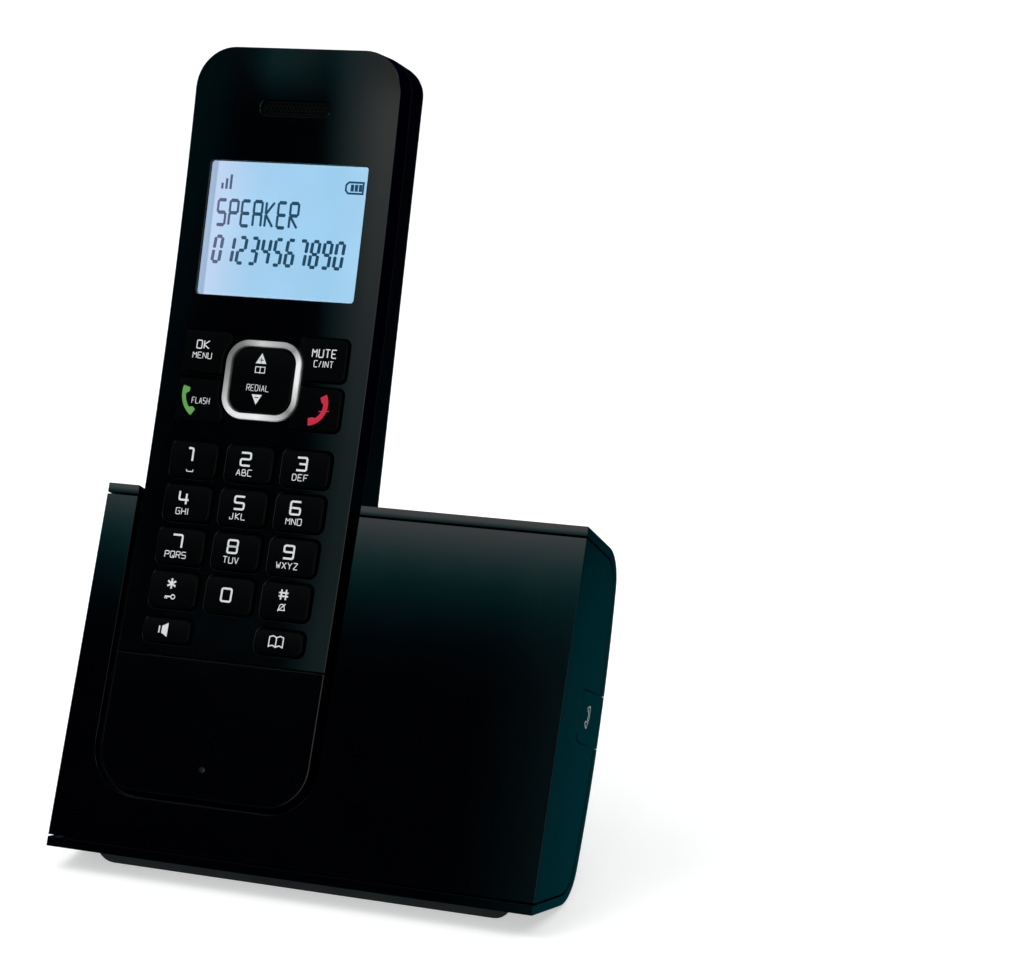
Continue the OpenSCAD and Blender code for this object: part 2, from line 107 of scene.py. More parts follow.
# How much smaller the upper corners get towards the back, the edges' radii, how far the front's edge is in
# from the sides, the soft edges at the seam, and the microphone's height
BACK_CORNER = 3.8
EDGE_R = 0.2
CAP_EDGE_R = 0.25
BACK_R = 5.0
FLARE = 0.45
END_SOFT = 0.12
CAP_SOFT = 0.15
MIC_Z = 20.0
# From ROLL_FROM up the front rolls off at its sides by ROLL degrees, over ROLL_REACH, as a power ROLL_POWER.
# The second value is what each gains higher up, the roll over ROLL_GAIN and the others over SHAPE_GAIN.
# It is even within FLAT_SIDE of a side. The front rolls off towards its top too.
ROLL_FROM = BEND_Z - 7
ROLL_GAIN = (62.0, 157.0)
SHAPE_GAIN = (110.0, 155.0)
ROLL = (4.0, 4.6)
ROLL_REACH = (18.0, 9.0)
ROLL_POWER = (0.7, 0.6)
FLAT_SIDE = 2.5
TOP_ROLL = radians(3.1)
TOP_REACH = 20.0


def front_y(z):
    return -CROWN - (max(z - BEND_Z, 0.0) ** 2) / (2 * BEND_R)


def front_tilt(z):
    return degrees(atan(max(z - BEND_Z, 0.0) / BEND_R))


def back_y(z):
    run = min(max(z - BACK_BEND + BACK_RUN, 0.0), 2 * BACK_RUN)
    beyond = max(z - BACK_BEND - BACK_RUN, 0.0)
    return BACK_Y - BACK_SLOPE * (run * run / (4 * BACK_RUN) + beyond)


def turns(n):
    """Sines and cosines of n + 1 angles from 0 to 90 degrees."""
    return [(sin(pi / 2 * k / n), cos(pi / 2 * k / n)) for k in range(n + 1)]


def share(value, low, high):
    """0 up to low, 1 from high on and in proportion between."""
    return min(max((value - low) / (high - low), 0.0), 1.0)


def front_normal(z, x=0.0):
    """Normal of the front, which rolls off a little towards the sides and the top."""
    if z < ROLL_FROM:
        return Vector((0, -1, 0))
    edge = FLARE + EDGE_R
    from_side = max(PHONE_HALF - edge - abs(x), FLAT_SIDE)
    from_top = max(PHONE_TOP - edge - z, 0.0)
    high = share(z, *SHAPE_GAIN)
    roll = radians(ROLL[0] + ROLL[1] * share(z, *ROLL_GAIN) ** 2)
    reach, power = ROLL_REACH[0] + ROLL_REACH[1] * high, ROLL_POWER[0] + ROLL_POWER[1] * high
    sideways = roll * max(1 - from_side / reach, 0.0) ** power
    upwards = TOP_ROLL * max(1 - (from_top / TOP_REACH) ** 2, 0.0)
    lean = max(z - BEND_Z, 0.0) / BEND_R
    return Vector((copysign(tan(sideways), x), -1, tan(upwards - lean))).normalized()


def back_normal(z):
    return Vector((0, 1, back_y(z - 0.5) - back_y(z + 0.5))).normalized()


def skin(face, x, z, depth=0.0):
    """A place at a depth behind the handset's front or back, and the face's normal there."""
    if face == "front":
        return Vector((x, front_y(z) + depth, z)), front_normal(z, x)
    return Vector((x, back_y(z) - depth, z)), back_normal(z)


def on_face(face, depth):
    """Place and normal as a function of x and z; a surface at a depth looks inwards."""
    def surface(x, z):
        point, normal = skin(face, x, z, depth)
        return point, -normal if depth else normal
    return surface


def front_frame(node, proud):
    """Frame on the handset's front at a CAD node whose front stands proud, and the node's size there."""
    low, high = box_in(PHONE, node)
    face = PHONE @ turned_x(front_tilt((low.z + high.z) / 2))
    low, high = box_in(face, node)
    return face @ moved((low.x + high.x) / 2, low.y + proud, (low.z + high.z) / 2), high - low


# ---------- meshes ----------

CREASE = radians(32)


class Piece:
    """Points, wanted normals and faces of one piece, in the millimetres of the frame it is made in."""

    def __init__(self):
        self.points, self.normals, self.faces = [], [], []

    def add(self, point, normal=None):
        self.points.append(Vector(point))
        self.normals.append(Vector(normal).normalized() if normal is not None else Vector((0, 0, 0)))
        return len(self.points) - 1

    def ring(self, places):
        return [self.add(point, normal) for point, normal in places]

    def strip(self, a, b, closed=True):
        for i in range(len(a) if closed else len(a) - 1):
            j = (i + 1) % len(a)
            self.faces.append((a[i], a[j], b[j], b[i]))

    def strips(self, rings, closed=True):
        for a, b in zip(rings, rings[1:]):
            self.strip(a, b, closed)

    def fill(self, loops, axes=(0, 2), surface=None, step=0.0):
        """Triangles between closed loops, with points of the surface step apart in between."""
        numbers = [i for loop in loops for i in loop]
        flat = [tuple(self.points[i][a] for a in axes) for i in numbers]
        edges, start = [], 0
        for loop in loops:
            edges += [(start + k, start + (k + 1) % len(loop)) for k in range(len(loop))]
            start += len(loop)
        ends = np.array([(flat[a], flat[b]) for a, b in edges])
        if step:
            for place in grid_inside(ends, step):
                numbers.append(self.add(*surface(*place)))
                flat.append(place)
        made = delaunay_2d_cdt([Vector(p) for p in flat], edges, [], 0, 1e-7)
        corners = np.array([tuple(v) for v in made[0]])
        faces = [f for f in made[2] if len(f) == 3]
        middles = np.array([corners[list(f)].mean(axis=0) for f in faces])
        for face, inside in zip(faces, inside_of(middles, ends)):
            if inside and all(made[3][v] for v in face):
                self.faces.append(tuple(numbers[made[3][v][0]] for v in face))

    def make(self, name, place, node=None, finish=None, body=None):
        mesh = bpy.data.meshes.new(name)
        mesh.from_pydata([place @ p for p in self.points], [], self.faces)
        outwards(mesh)
        turn = place.to_3x3()
        wanted = [(turn @ n).normalized() if n.length > 0.5 else (0, 0, 0) for n in self.normals]
        mesh.normals_split_custom_set([wanted[corner.vertex_index] for corner in mesh.loops])
        settle(bpy.data.objects.new(name, mesh), node, finish, body)


def grid_inside(ends, step):
    """Places of a square grid that lie inside the loops and clear of their edges."""
    corners = ends.reshape(-1, 2)
    low, high = corners.min(axis=0), corners.max(axis=0)
    places = np.array([(a, b) for a in np.arange(low[0] + step / 2, high[0], step)
                       for b in np.arange(low[1] + step / 2, high[1], step)]).reshape(-1, 2)
    start, run = ends[:, 0], ends[:, 1] - ends[:, 0]
    length = np.maximum((run * run).sum(axis=1), 1e-12)
    kept = []
    for p in places[inside_of(places, ends)]:
        along = np.clip(((p - start) * run).sum(axis=1) / length, 0, 1)
        if np.sqrt(((start + run * along[:, None] - p) ** 2).sum(axis=1)).min() > step * 0.35:
            kept.append((float(p[0]), float(p[1])))
    return kept


def inside_of(places, ends):
    """For each place, whether it is inside the loops by the even-odd rule."""
    (x1, y1), (x2, y2) = ends[:, 0].T, ends[:, 1].T
    rise = np.where(np.abs(y2 - y1) < 1e-12, 1e-12, y2 - y1)
    x, y = places[:, :1], places[:, 1:]
    crosses = ((y1 > y) != (y2 > y)) & (x < (x2 - x1) * (y - y1) / rise + x1)
    return crosses.sum(axis=1) % 2 == 1


def outwards(mesh):
    """Turns the faces outwards and shades them smooth between creases."""
    work = bmesh.new()
    work.from_mesh(mesh)
    bmesh.ops.recalc_face_normals(work, faces=work.faces)
    work.to_mesh(mesh)
    work.free()
    mesh.shade_smooth()
    mesh.set_sharp_from_angle(angle=CREASE)


def link(obj):
    bpy.context.scene.collection.objects.link(obj)


def slot_of(node):
    return next(s["material_slot"] for s in frame["record"]["subparts"] if s["node"] == node)


def settle(obj, node, finish=None, body=None):
    """Links a piece; what isn't given, its finish and the body it rides on, comes from its CAD node."""
    link(obj)
    obj.data.materials.clear()
    obj.data.materials.append(finish or FINISHES[slot_of(node)])
    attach(obj, body or BODY_OF[node])
    if node:
        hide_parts(node)


def refined(node, name, width, segments=2, taller=0.0):
    """A copy of a CAD node with edges softly rounded by width millimetres, and taller by some."""
    mesh = NODES[node].data.copy()
    mesh.name = name
    if taller:
        low, high = box_in(SLAB, node)
        middle = SLAB @ moved(0, 0, (low.z + high.z) / 2)
        stretch = Matrix.Scale(1 + taller / (high.z - low.z), 4, (0, 0, 1))
        mesh.transform(middle @ stretch @ middle.inverted())
    work = bmesh.new()
    work.from_mesh(mesh)
    bmesh.ops.remove_doubles(work, verts=work.verts, dist=2e-6)
    bmesh.ops.dissolve_limit(work, angle_limit=radians(0.6), verts=work.verts, edges=work.edges)
    work.to_mesh(mesh)
    work.free()
    mesh.shade_smooth()
    obj = bpy.data.objects.new(name, mesh)
    bevel = obj.modifiers.new("soft_edges", "BEVEL")
    bevel.width = width * MM
    bevel.segments = segments
    bevel.limit_method = "ANGLE"
    bevel.angle_limit = CREASE
    weighted = obj.modifiers.new("even_normals", "WEIGHTED_NORMAL")
    weighted.weight = 100
    weighted.keep_sharp = True
    settle(obj, node)


# ---------- flat outlines ----------


def arc(x, z, r, start, stop, n):
    """Points of an arc, in degrees, both ends included."""
    angles = [radians(start + (stop - start) * k / n) for k in range(n + 1)]
    return [(x + r * cos(a), z + r * sin(a)) for a in angles]


def rounded_rect(w, h, r, n=8, step=2.0):
    """A function that gives the outline of a rounded rectangle grown by g, anticlockwise.

    The number of points along its straight stretches stays the same whatever g is.
    """
    counts = [max(1, round(w / step)), max(1, round(h / step))]

    def outline(g=0.0):
        c = max(r + g, 0.01)
        x, z = w / 2 + g - c, h / 2 + g - c
        middles = [(x, z), (-x, z), (-x, -z), (x, -z)]
        corners = [arc(*middle, c, 90 * k, 90 * k + 90, n) for k, middle in enumerate(middles)]
        points = []
        for k, corner in enumerate(corners):
            a, b, count = Vector(corner[-1]), Vector(corners[(k + 1) % 4][0]), counts[k % 2]
            points += corner + [tuple(a.lerp(b, i / count)) for i in range(1, count)]
        return points
    return outline


def outline_normals(points):
    """Outward normals of an anticlockwise outline."""
    result = []
    for k in range(len(points)):
        ahead, behind = points[(k + 1) % len(points)], points[k - 1]
        t = Vector((ahead[0] - behind[0], ahead[1] - behind[1])).normalized()
        result.append((t.y, -t.x))
    return result


def shifted(points):
    """A function that gives a free outline grown by g, anticlockwise."""
    def outline(g=0.0):
        return [(x + g * nx, z + g * nz) for (x, z), (nx, nz) in zip(points, outline_normals(points))]
    return outline


def rounded_path(points, r, closed=False, n=4):
    """The path with its corners rounded to about r."""
    corners = [Vector(p) for p in points]
    result = []
    for k, p in enumerate(corners):
        if not closed and k in (0, len(corners) - 1):
            result.append(p)
            continue
        before, after = corners[k - 1] - p, corners[(k + 1) % len(corners)] - p
        cut = min(r, before.length / 2, after.length / 2)
        a, b = p + before.normalized() * cut, p + after.normalized() * cut
        for i in range(n + 1):
            t = i / n
            result.append(a * (1 - t) ** 2 + p * 2 * t * (1 - t) + b * t * t)
    return [tuple(p) for p in result]


def rect_distance(x, z, w, h, r):
    """Signed distance from a rounded rectangle about the origin, negative inside."""
    a, b = abs(x) - w / 2 + r, abs(z) - h / 2 + r
    return hypot(max(a, 0), max(b, 0)) + min(max(a, b), 0) - r


# ---------- the handset's shells ----------

# One entry of a profile is (inset, face, depth, outward, facing): how far in from the outline and how
# deep behind which face it lies, and its normal's shares along the outline's normal and the face's.


def quarter(face, r, wall=0.0, n=8):
    """Quarter round from a face to the side wall, moved in by a wall's thickness."""
    inset = (SIDE_WALL if wall else 0.0) + (FLARE if face == "front" else 0.0)
    return [(inset + r * (1 - s), face, wall + r * (1 - c), s, c) for s, c in turns(n)]


def end_path(inset, z_end, upwards, corner, step=2.5):
    """Outline of one end of the handset, moved in by inset, from the left end of its seam to the right."""
    way = 1 if upwards else -1
    tip = PHONE_TOP if upwards else PHONE_BOTTOM
    x, z, r = PHONE_HALF - corner, tip - way * corner, corner - inset
    rows = max(2, round(abs(tip - way * PHONE_R - z_end) / step))
    half = [(inset - PHONE_HALF, z_end + (z - z_end) * k / rows, -1, 0) for k in range(rows)]
    for k in range(13):
        a = radians(7.5 * k)
        half.append((-x - r * cos(a), z + way * r * sin(a), -cos(a), way * sin(a)))
    across = max(2, round((PHONE_HALF - PHONE_R) / step))
    half += [(-x + x * k / across, tip - way * inset, 0, way) for k in range(1, across + 1)]
    return half + [(-px, pz, -nx, nz) for px, pz, nx, nz in half[-2::-1]]


def sweep(piece, profile, z_end, upwards):
    """Sweeps a profile round one end of the handset, and returns its rings of points."""
    rings = []
    thickness = back_y(PHONE_TOP) - front_y(PHONE_TOP)
    for inset, face, depth, outward, facing in profile:
        behind = depth if face == "front" else thickness - depth
        corner = PHONE_R - BACK_CORNER * behind / thickness if upwards else PHONE_R
        places = []
        for x, z, nx, nz in end_path(inset, z_end, upwards, corner):
            point, face_normal = skin(face, x, z, depth)
            normal = Vector((nx, 0, nz)) * outward + face_normal * facing
            places.append((point, normal if normal.length > 0.5 else None))
        rings.append(piece.ring(places))
    piece.strips(rings, closed=False)
    return rings


def seam_line(piece, ring, face, depth, n=16):
    """Points along the seam from a ring's right end back to its left end."""
    line = []
    for k in range(1, n):
        p = piece.points[ring[-1]].lerp(piece.points[ring[0]], k / n)
        line.append(piece.add(p, None if depth else skin(face, p.x, p.z)[1]))
    return line


def end_loop(rings, first_line, last_line):
    """The loop round a shell's open end, through its rings' ends and two seam lines."""
    return [r[-1] for r in rings] + last_line + [r[0] for r in rings[::-1]] + first_line[::-1]


def close_end(piece, loop, others, z_step, soft):
    """Closes a shell at its seam: rounds the edge of the outer loop, then fills the flat end."""
    flat = [(piece.points[i].x, piece.points[i].y) for i in loop]
    area = sum(a[0] * b[1] - b[0] * a[1] for a, b in zip(flat, flat[1:] + flat[:1]))
    rings = [loop]
    for a in (pi / 4, pi / 2):
        out, down = copysign(soft * (1 - cos(a)), -area), copysign(soft * sin(a), z_step)
        rings.append([piece.add((x + nx * out, y + ny * out, piece.points[i].z + down))
                      for i, (x, y), (nx, ny) in zip(loop, flat, outline_normals(flat))])
    piece.strips(rings)
    ends = [rings[-1]]
    for other in others:
        low = [piece.add(piece.points[i] + Vector((0, 0, copysign(soft, z_step)))) for i in other]
        piece.strip(other, low)
        ends.append(low)
    piece.fill(ends, axes=(0, 1))


def hole(piece, place, outline, face, thickness, soft):
    """Sinks a hole through a wall of the handset; returns its loops on the outer and inner surface."""
    centre = PHONE.inverted() @ place
    x0, z0 = centre.translation.x, centre.translation.z
    axis = (centre.to_3x3() @ Vector((0, 1, 0))).normalized()
    if face == "back":
        axis = -axis
    rings = []
    for g, depth, outward in ((soft, 0, 0), (soft * 0.3, soft * 0.3, 0.7), (0, soft, 1)):
        points = outline(g)
        places = []
        for (u, w), (nu, nw) in zip(points, outline_normals(points)):
            point, normal = skin(face, x0 + u, z0 + w * abs(axis.y))
            facing = sqrt(1 - outward * outward)
            places.append((point + axis * depth, Vector((-nu, 0, -nw)) * outward + normal * facing))
        rings.append(piece.ring(places))
    inner = []
    for i in rings[-1]:
        p = piece.points[i] + axis * (thickness - soft)
        inner.append(piece.add(skin(face, p.x, p.z, thickness)[0]))
    piece.strips(rings + [inner])
    return rings[0], inner


def half_shell(face, radius, wall, rim, holes, soft=0.15):
    """The handset's upper front housing or back cover: one face, its sides down to a rim, and its end."""
    piece = Piece()
    way = -1 if face == "front" else 1
    side = [(0, "front", rim + way * soft, 1, 0), (0.3 * soft, "front", rim + way * soft / 3, 0, 0),
            (soft, "front", rim, 0, 0)]
    inner_r = max(radius - SIDE_WALL, 0.5)
    inside = [(i, f, d, 0, 0) for i, f, d, *_ in quarter(face, inner_r, wall, 4)]
    inside = [(SIDE_WALL, "front", rim, 0, 0)] + inside[::-1]
    rings = sweep(piece, quarter(face, radius) + side + inside, SEAM_TOP + END_SOFT, True)
    outer_line = seam_line(piece, rings[0], face, 0)
    inner_line = seam_line(piece, rings[-1], face, wall)
    loops = [hole(piece, place, outline, face, wall, edge) for place, outline, edge in holes]
    piece.fill([rings[0] + outer_line] + [a for a, b in loops], surface=on_face(face, 0), step=2.6)
    piece.fill([rings[-1] + inner_line] + [b for a, b in loops], surface=on_face(face, wall), step=5.0)
    close_end(piece, end_loop(rings, outer_line, inner_line), [], -1, END_SOFT)
    return piece


def key_shape(node):
    """Frame, outline and size of a dial key."""
    place, size = front_frame(node, KEY_PROUD)
    return place, rounded_rect(size.x - 2 * KEY_RIM, size.z - 2 * KEY_RIM, KEY_R, 6), size


KEY_RIM = 0.42
KEY_R = 1.5
KEY_LIP = 0.7
SOFT_W = 11.5
SOFT_H = 9.4
SOFT_X = 13.55
SOFT_Z = 5.28
SOFT_GAP = 0.55
SOFT_BLEND = 0.5
nav_place, nav_size = front_frame("navigation_ring", RING_PROUD)
RING_W, RING_H, RING_R, RING_BAND = nav_size.x, nav_size.z, 5.0, 1.3


def soft_distance(x, z):
    """Signed distance from the soft key at the ring's upper right."""
    key = rect_distance(x - SOFT_X, z - SOFT_Z, SOFT_W, SOFT_H, KEY_R)
    ring = -rect_distance(x, z, RING_W + 2 * SOFT_GAP, RING_H + 2 * SOFT_GAP, RING_R + SOFT_GAP)
    blend = max(SOFT_BLEND - abs(key - ring), 0)
    return max(key, ring) + blend * blend / (4 * SOFT_BLEND)


def soft_outline(side, level, n=168):
    """Outline of one of the four soft keys, grown by g, in the frame of the ring."""
    def outline(g=0.0):
        points = []
        for k in range(n):
            c, s = cos(2 * pi * k / n), sin(2 * pi * k / n)
            near, far = 0.0, 11.0
            for _ in range(26):
                t = (near + far) / 2
                inside = soft_distance(SOFT_X + t * c, SOFT_Z + t * s) < g
                near, far = (t, far) if inside else (near, t)
            points.append((side * (SOFT_X + near * c), level * (SOFT_Z + near * s)))
        return points if side * level > 0 else points[::-1]
    return outline


SOFT_KEYS = {"ok_key": (-1, 1), "mute_key": (1, 1), "talk_key": (-1, -1), "hang_up_key": (1, -1)}
DIAL_KEYS = ["key_1", "key_2", "key_3", "key_4", "key_5", "key_6", "key_7", "key_8", "key_9",
             "key_star", "key_0", "key_hash", "speaker_key", "phonebook_key"]
WINDOW_W, WINDOW_H = 37.2, 29.4
window_place, window_size = front_frame("display_window", -0.35)
ear_place, ear_size = front_frame("earpiece_grille", -0.7)


def front_holes():
    holes = [(window_place, rounded_rect(WINDOW_W, WINDOW_H, 0.8), 0.15),
             (ear_place, rounded_rect(ear_size.x + 0.2, ear_size.z + 0.2, ear_size.z / 2 + 0.09, 8), 0.2),
             (nav_place, rounded_rect(RING_W + 0.1, RING_H + 0.1, RING_R, 8), 0.08)]
    for node in DIAL_KEYS:
        place, outline, _ = key_shape(node)
        holes.append((place, grown(outline, KEY_GAP), 0.15))
    for side, level in SOFT_KEYS.values():
        holes.append((nav_place, grown(soft_outline(side, level), KEY_GAP), 0.08))
    return holes


def grown(outline, extra):
    return lambda g=0.0: outline(g + extra)


def front_housing():
    piece = half_shell("front", EDGE_R, FRONT_WALL, FRONT_DEPTH, front_holes())
    piece.make("front_housing", PHONE, "handset_front_housing")


SLOT_W, SLOT_H, SLOT_T, SLOT_R, SLOT_BRIDGE = 10.6, 20.0, 1.5, 3.0, 1.8
SLOT_Z = 103.0


def slot_outline(side):
    """One of the two bracket-shaped slots over the loudspeaker."""
    def bracket(x, z, r):
        lower, upper = arc(x - r, r - z, r, 270, 360, 6), arc(x - r, z - r, r, 0, 90, 6)
        return [(SLOT_BRIDGE / 2, -z)] + lower + upper + [(SLOT_BRIDGE / 2, z)]
    x, z, t = SLOT_W / 2, SLOT_H / 2, SLOT_T
    ribbon = bracket(x, z, SLOT_R) + bracket(x - t, z - t, SLOT_R - t)[::-1]
    points = rounded_path(ribbon, 0.25, closed=True, n=2)
    return shifted(points if side > 0 else [(-px, pz) for px, pz in points[::-1]])


def back_cover():
    place = PHONE @ moved(0, back_y(SLOT_Z), SLOT_Z) @ turned_x(degrees(atan(BACK_SLOPE)))
    holes = [(place, slot_outline(side), 0.15) for side in (-1, 1)]
    piece = half_shell("back", BACK_R, BACK_WALL, FRONT_DEPTH + SEAM_GAP, holes)
    piece.make("back_shell", PHONE, "handset_back_cover")


def end_cap():
    """The lower end of the handset, closed all round, with the microphone hole in its front."""
    piece = Piece()
    mic = hole(piece, PHONE @ moved(0, front_y(MIC_Z), MIC_Z), rounded_rect(1.2, 1.2, 0.59, 6, 5.0),
               "front", FRONT_WALL, 0.12)
    sections = []
    for front_wall, back_wall, front_r, back_r, step, opening in (
            (0, 0, CAP_EDGE_R, BACK_R, 2.6, mic[0]),
            (FRONT_WALL, BACK_WALL, 0.6, BACK_R - SIDE_WALL, 5.0, mic[1])):
        facing = -1 if front_wall else 1
        profile = quarter("front", front_r, front_wall) + quarter("back", back_r, back_wall)[::-1]
        profile = [(inset, face, depth, facing * o, facing * n) for inset, face, depth, o, n in profile]
        rings = sweep(piece, profile, SEAM_BOTTOM - CAP_SOFT, False)
        front_line = seam_line(piece, rings[0], "front", front_wall)
        back_line = seam_line(piece, rings[-1], "back", back_wall)
        piece.fill([rings[0] + front_line, opening], surface=on_face("front", front_wall), step=step)
        piece.fill([rings[-1] + back_line], surface=on_face("back", back_wall), step=step)
        sections.append(end_loop(rings, front_line, back_line))
    close_end(piece, sections[0], [sections[1]], 1, CAP_SOFT)
    piece.make("end_cap", PHONE, "handset_end_cap")


# ---------- keys ----------


def domed(height, rise, half_u, half_w, middle_u=0.0, middle_w=0.0):
    """Top of a key as a function of place: height at the edges, rising by rise in the middle."""
    def top(u, w):
        away = ((u - middle_u) / half_u) ** 2 + ((w - middle_w) / half_w) ** 2
        return -(height - rise + rise * max(0.0, 1 - away / 2))
    return top


def level_top(depth):
    return lambda u, w: depth


def tilted_normal(top, u, w, step=0.01):
    across = (top(u + step, w) - top(u - step, w)) / (2 * step)
    upward = (top(u, w + step) - top(u, w - step)) / (2 * step)
    return Vector((across, -1, upward)).normalized()


def walls(piece, outline, section, top):
    """Rings of an outline along a section, whose entries are (growth, depth, outward, facing).

    The last two are the normal's shares. The depth is behind the top, or without a normal a fixed place.
    """
    rings = []
    for g, depth, outward, facing in section:
        points = outline(g)
        places = []
        for (u, w), (nu, nw) in zip(points, outline_normals(points)):
            if outward or facing:
                normal = Vector((nu, 0, nw)) * outward + tilted_normal(top, u, w) * facing
                places.append(((u, top(u, w) + depth, w), normal))
            else:
                places.append(((u, depth, w), None))
        rings.append(piece.ring(places))
    piece.strips(rings)
    return rings


def make_cap(name, node, place, outline, top, lip=KEY_LIP, edge=0.5, rim=KEY_RIM):
    """A key cap with a rounded edge, a domed top and a rim that holds it behind the housing."""
    piece = Piece()
    low = box_in(place, node)[1].y
    section = [(0, low, 0, 0), (rim, low, 0, 0), (rim, low - lip, 0, 0), (0, low - lip, 0, 0)]
    section += [(-edge * (1 - s), edge * (1 - c), s, c) for s, c in turns(6)[::-1]]
    rings = walls(piece, outline, section, top)
    piece.fill([rings[0]])
    piece.fill([rings[-1]], surface=lambda u, w: ((u, top(u, w), w), tilted_normal(top, u, w)), step=0.9)
    piece.make(name, place, node)


def plate(outline, y0, y1, holes=(), edge=0.15):
    """A flat plate from y0 to y1 behind the surface, with its front edge rounded."""
    piece = Piece()
    bevel = 0.3 * edge
    section = [(0, y1, 0, 0), (0, edge, 1, 0), (-bevel, bevel, 0.7, sqrt(0.51)), (-edge, 0, 0, 1)]
    rings = walls(piece, outline, section, level_top(y0))
    front, back = [rings[-1]], [rings[0]]
    for points in holes:
        front.append([piece.add((u, y0, w)) for u, w in points])
        back.append([piece.add((u, y1, w)) for u, w in points])
        piece.strip(front[-1], back[-1])
    piece.fill(front)
    piece.fill(back)
    return piece


# ---------- legends ----------

# Strokes of each sign on a grid 4 wide and 6 high: points as pairs of digits, strokes apart by "|",
# and a stroke that ends in "o" is closed. Digits and letters are squared, with rounded corners.
SIGNS = {
    "0": "00 40 46 06 o", "1": "16 36 30", "2": "06 46 43 03 00 40", "3": "06 46 40 00|13 43",
    "4": "06 02 42|35 30", "5": "46 06 03 43 40 00", "6": "46 06 00 40 43 03", "7": "06 46 40",
    "8": "00 40 43 03 o|03 43 46 06 o", "9": "43 03 06 46 40 00",
    "A": "00 26 40|12 32", "B": "00 40 43 03 o|03 06 36 33", "C": "46 06 00 40", "D": "00 30 42 44 36 06 o",
    "E": "46 06 00 40|03 33", "F": "46 06 00|03 33", "G": "46 06 00 40 43 23", "H": "00 06|46 40|03 43",
    "I": "20 26", "J": "36 30 00 02", "K": "00 06|46 03 40", "L": "06 00 40", "M": "00 06 23 46 40",
    "N": "00 06 40 46", "O": "00 40 46 06 o", "P": "00 06 46 43 03", "Q": "00 40 46 06 o|22 40",
    "R": "00 06 46 43 03|23 40", "S": "46 06 03 43 40 00", "T": "06 46|26 20", "U": "06 00 40 46",
    "V": "06 20 46", "W": "06 10 24 30 46", "X": "00 46|06 40", "Y": "06 23 46|23 20",
    "Z": "06 46 00 40", "/": "10 36",
    "_": "02 00 40 42", "#": "16 10|36 30|04 44|02 42",
}
NARROW = {"I": 1.0, "/": 3.0, "1": 3.0}
LEGEND_UP = 0.03
LEGEND_DOWN = 0.05


def strokes_of(sign):
    for stroke in SIGNS[sign].split("|"):
        marks = stroke.split()
        closed = marks[-1] == "o"
        yield [(int(m[0]), int(m[1])) for m in marks if m != "o"], closed


def stroke(piece, points, width, top, closed=False):
    """A flat ribbon along a path, lying on a surface."""
    path = [Vector(p) for p in points]
    n = len(path)
    lines = []
    for k, p in enumerate(path):
        before = path[k - 1] if closed or k else p
        after = path[(k + 1) % n] if closed or k < n - 1 else p
        a, b = (p - before).normalized(), (after - p).normalized()
        if a.length < 0.5:
            a = b
        if b.length < 0.5:
            b = a
        normal = Vector((a.y + b.y, -a.x - b.x))
        normal = normal.normalized() if normal.length > 1e-6 else Vector((a.y, -a.x))
        reach = width / 2 / max(normal.dot(Vector((a.y, -a.x))), 0.5)
        row = []
        for side, lift in ((-1, -LEGEND_UP), (1, -LEGEND_UP), (1, LEGEND_DOWN), (-1, LEGEND_DOWN)):
            u, w = p + normal * reach * side
            row.append(piece.add((u, top(u, w) + lift, w)))
        lines.append(row)
    for k in range(n if closed else n - 1):
        piece.strip(lines[k], lines[(k + 1) % n])
    if not closed:
        piece.faces += [tuple(lines[0]), tuple(lines[-1])]


def shape(piece, loops, top):
    """A flat filled shape lying on a surface."""
    upper, lower = [], []
    for points in loops:
        upper.append([piece.add((u, top(u, w) - LEGEND_UP, w)) for u, w in points])
        lower.append([piece.add((u, top(u, w) + LEGEND_DOWN, w)) for u, w in points])
        piece.strip(upper[-1], lower[-1])
    piece.fill(upper)
    piece.fill(lower)


def write(piece, words, centre, height, width, top, gap=0.15, wide=1.05):
    """Signs in a row about a centre: their height, the stroke's width and the gap between signs."""
    unit = (height - width) / 6
    spans = [NARROW.get(s, 4.0) * unit * wide for s in words]
    gap = gap * height + width
    u = centre[0] - (sum(spans) + gap * (len(words) - 1)) / 2
    for sign, span in zip(words, spans):
        start = u - (4 * unit * wide - span) / 2
        for points, closed in strokes_of(sign):
            line = [(start + x * unit * wide, centre[1] + (z - 3) * unit) for x, z in points]
            stroke(piece, rounded_path(line, 0.9 * unit, closed), width, top, closed)
        u += span + gap


def receiver(size, thin, thick, turn, bow):
    """Outline of a telephone receiver: a bow that swells at both ends."""
    radius, n = size * bow, 24
    half = asin(0.5 / bow)
    outer, inner = [], []
    for k in range(n + 1):
        along = 2 * k / n - 1
        c, s = cos(half * along), sin(half * along)
        swell = thin + (thick - thin) * share(abs(along), 0.5, 0.66)
        outer.append((radius - radius * c, radius * s))
        inner.append((radius - (radius - swell) * c, (radius - swell) * s))
    spin = Matrix.Rotation(radians(turn), 2)
    return [tuple(spin @ Vector(p)) for p in rounded_path(outer + inner[::-1], 0.12, closed=True, n=1)]


def rect(u, w, width, height):
    return [(u, w), (u + width, w), (u + width, w + height), (u, w + height)]


def at(points, u, w):
    return [(x + u, z + w) for x, z in points]


def circle(u, w, r, n=20):
    return arc(u, w, r, 0, 360 - 360 / n, n - 1)


DIAL_WORDS = {"key_1": "1", "key_2": "2ABC", "key_3": "3DEF", "key_4": "4GHI", "key_5": "5JKL",
              "key_6": "6MNO", "key_7": "7PQRS", "key_8": "8TUV", "key_9": "9WXYZ", "key_0": "0"}
DIGIT_H = 3.15
LETTER_H = 1.5
LEGEND_X = -0.5
DIGIT_X = -0.3
DIGIT_Z = 0.95
LETTER_Z = -1.95
BOLD = 0.43
FINE = 0.17


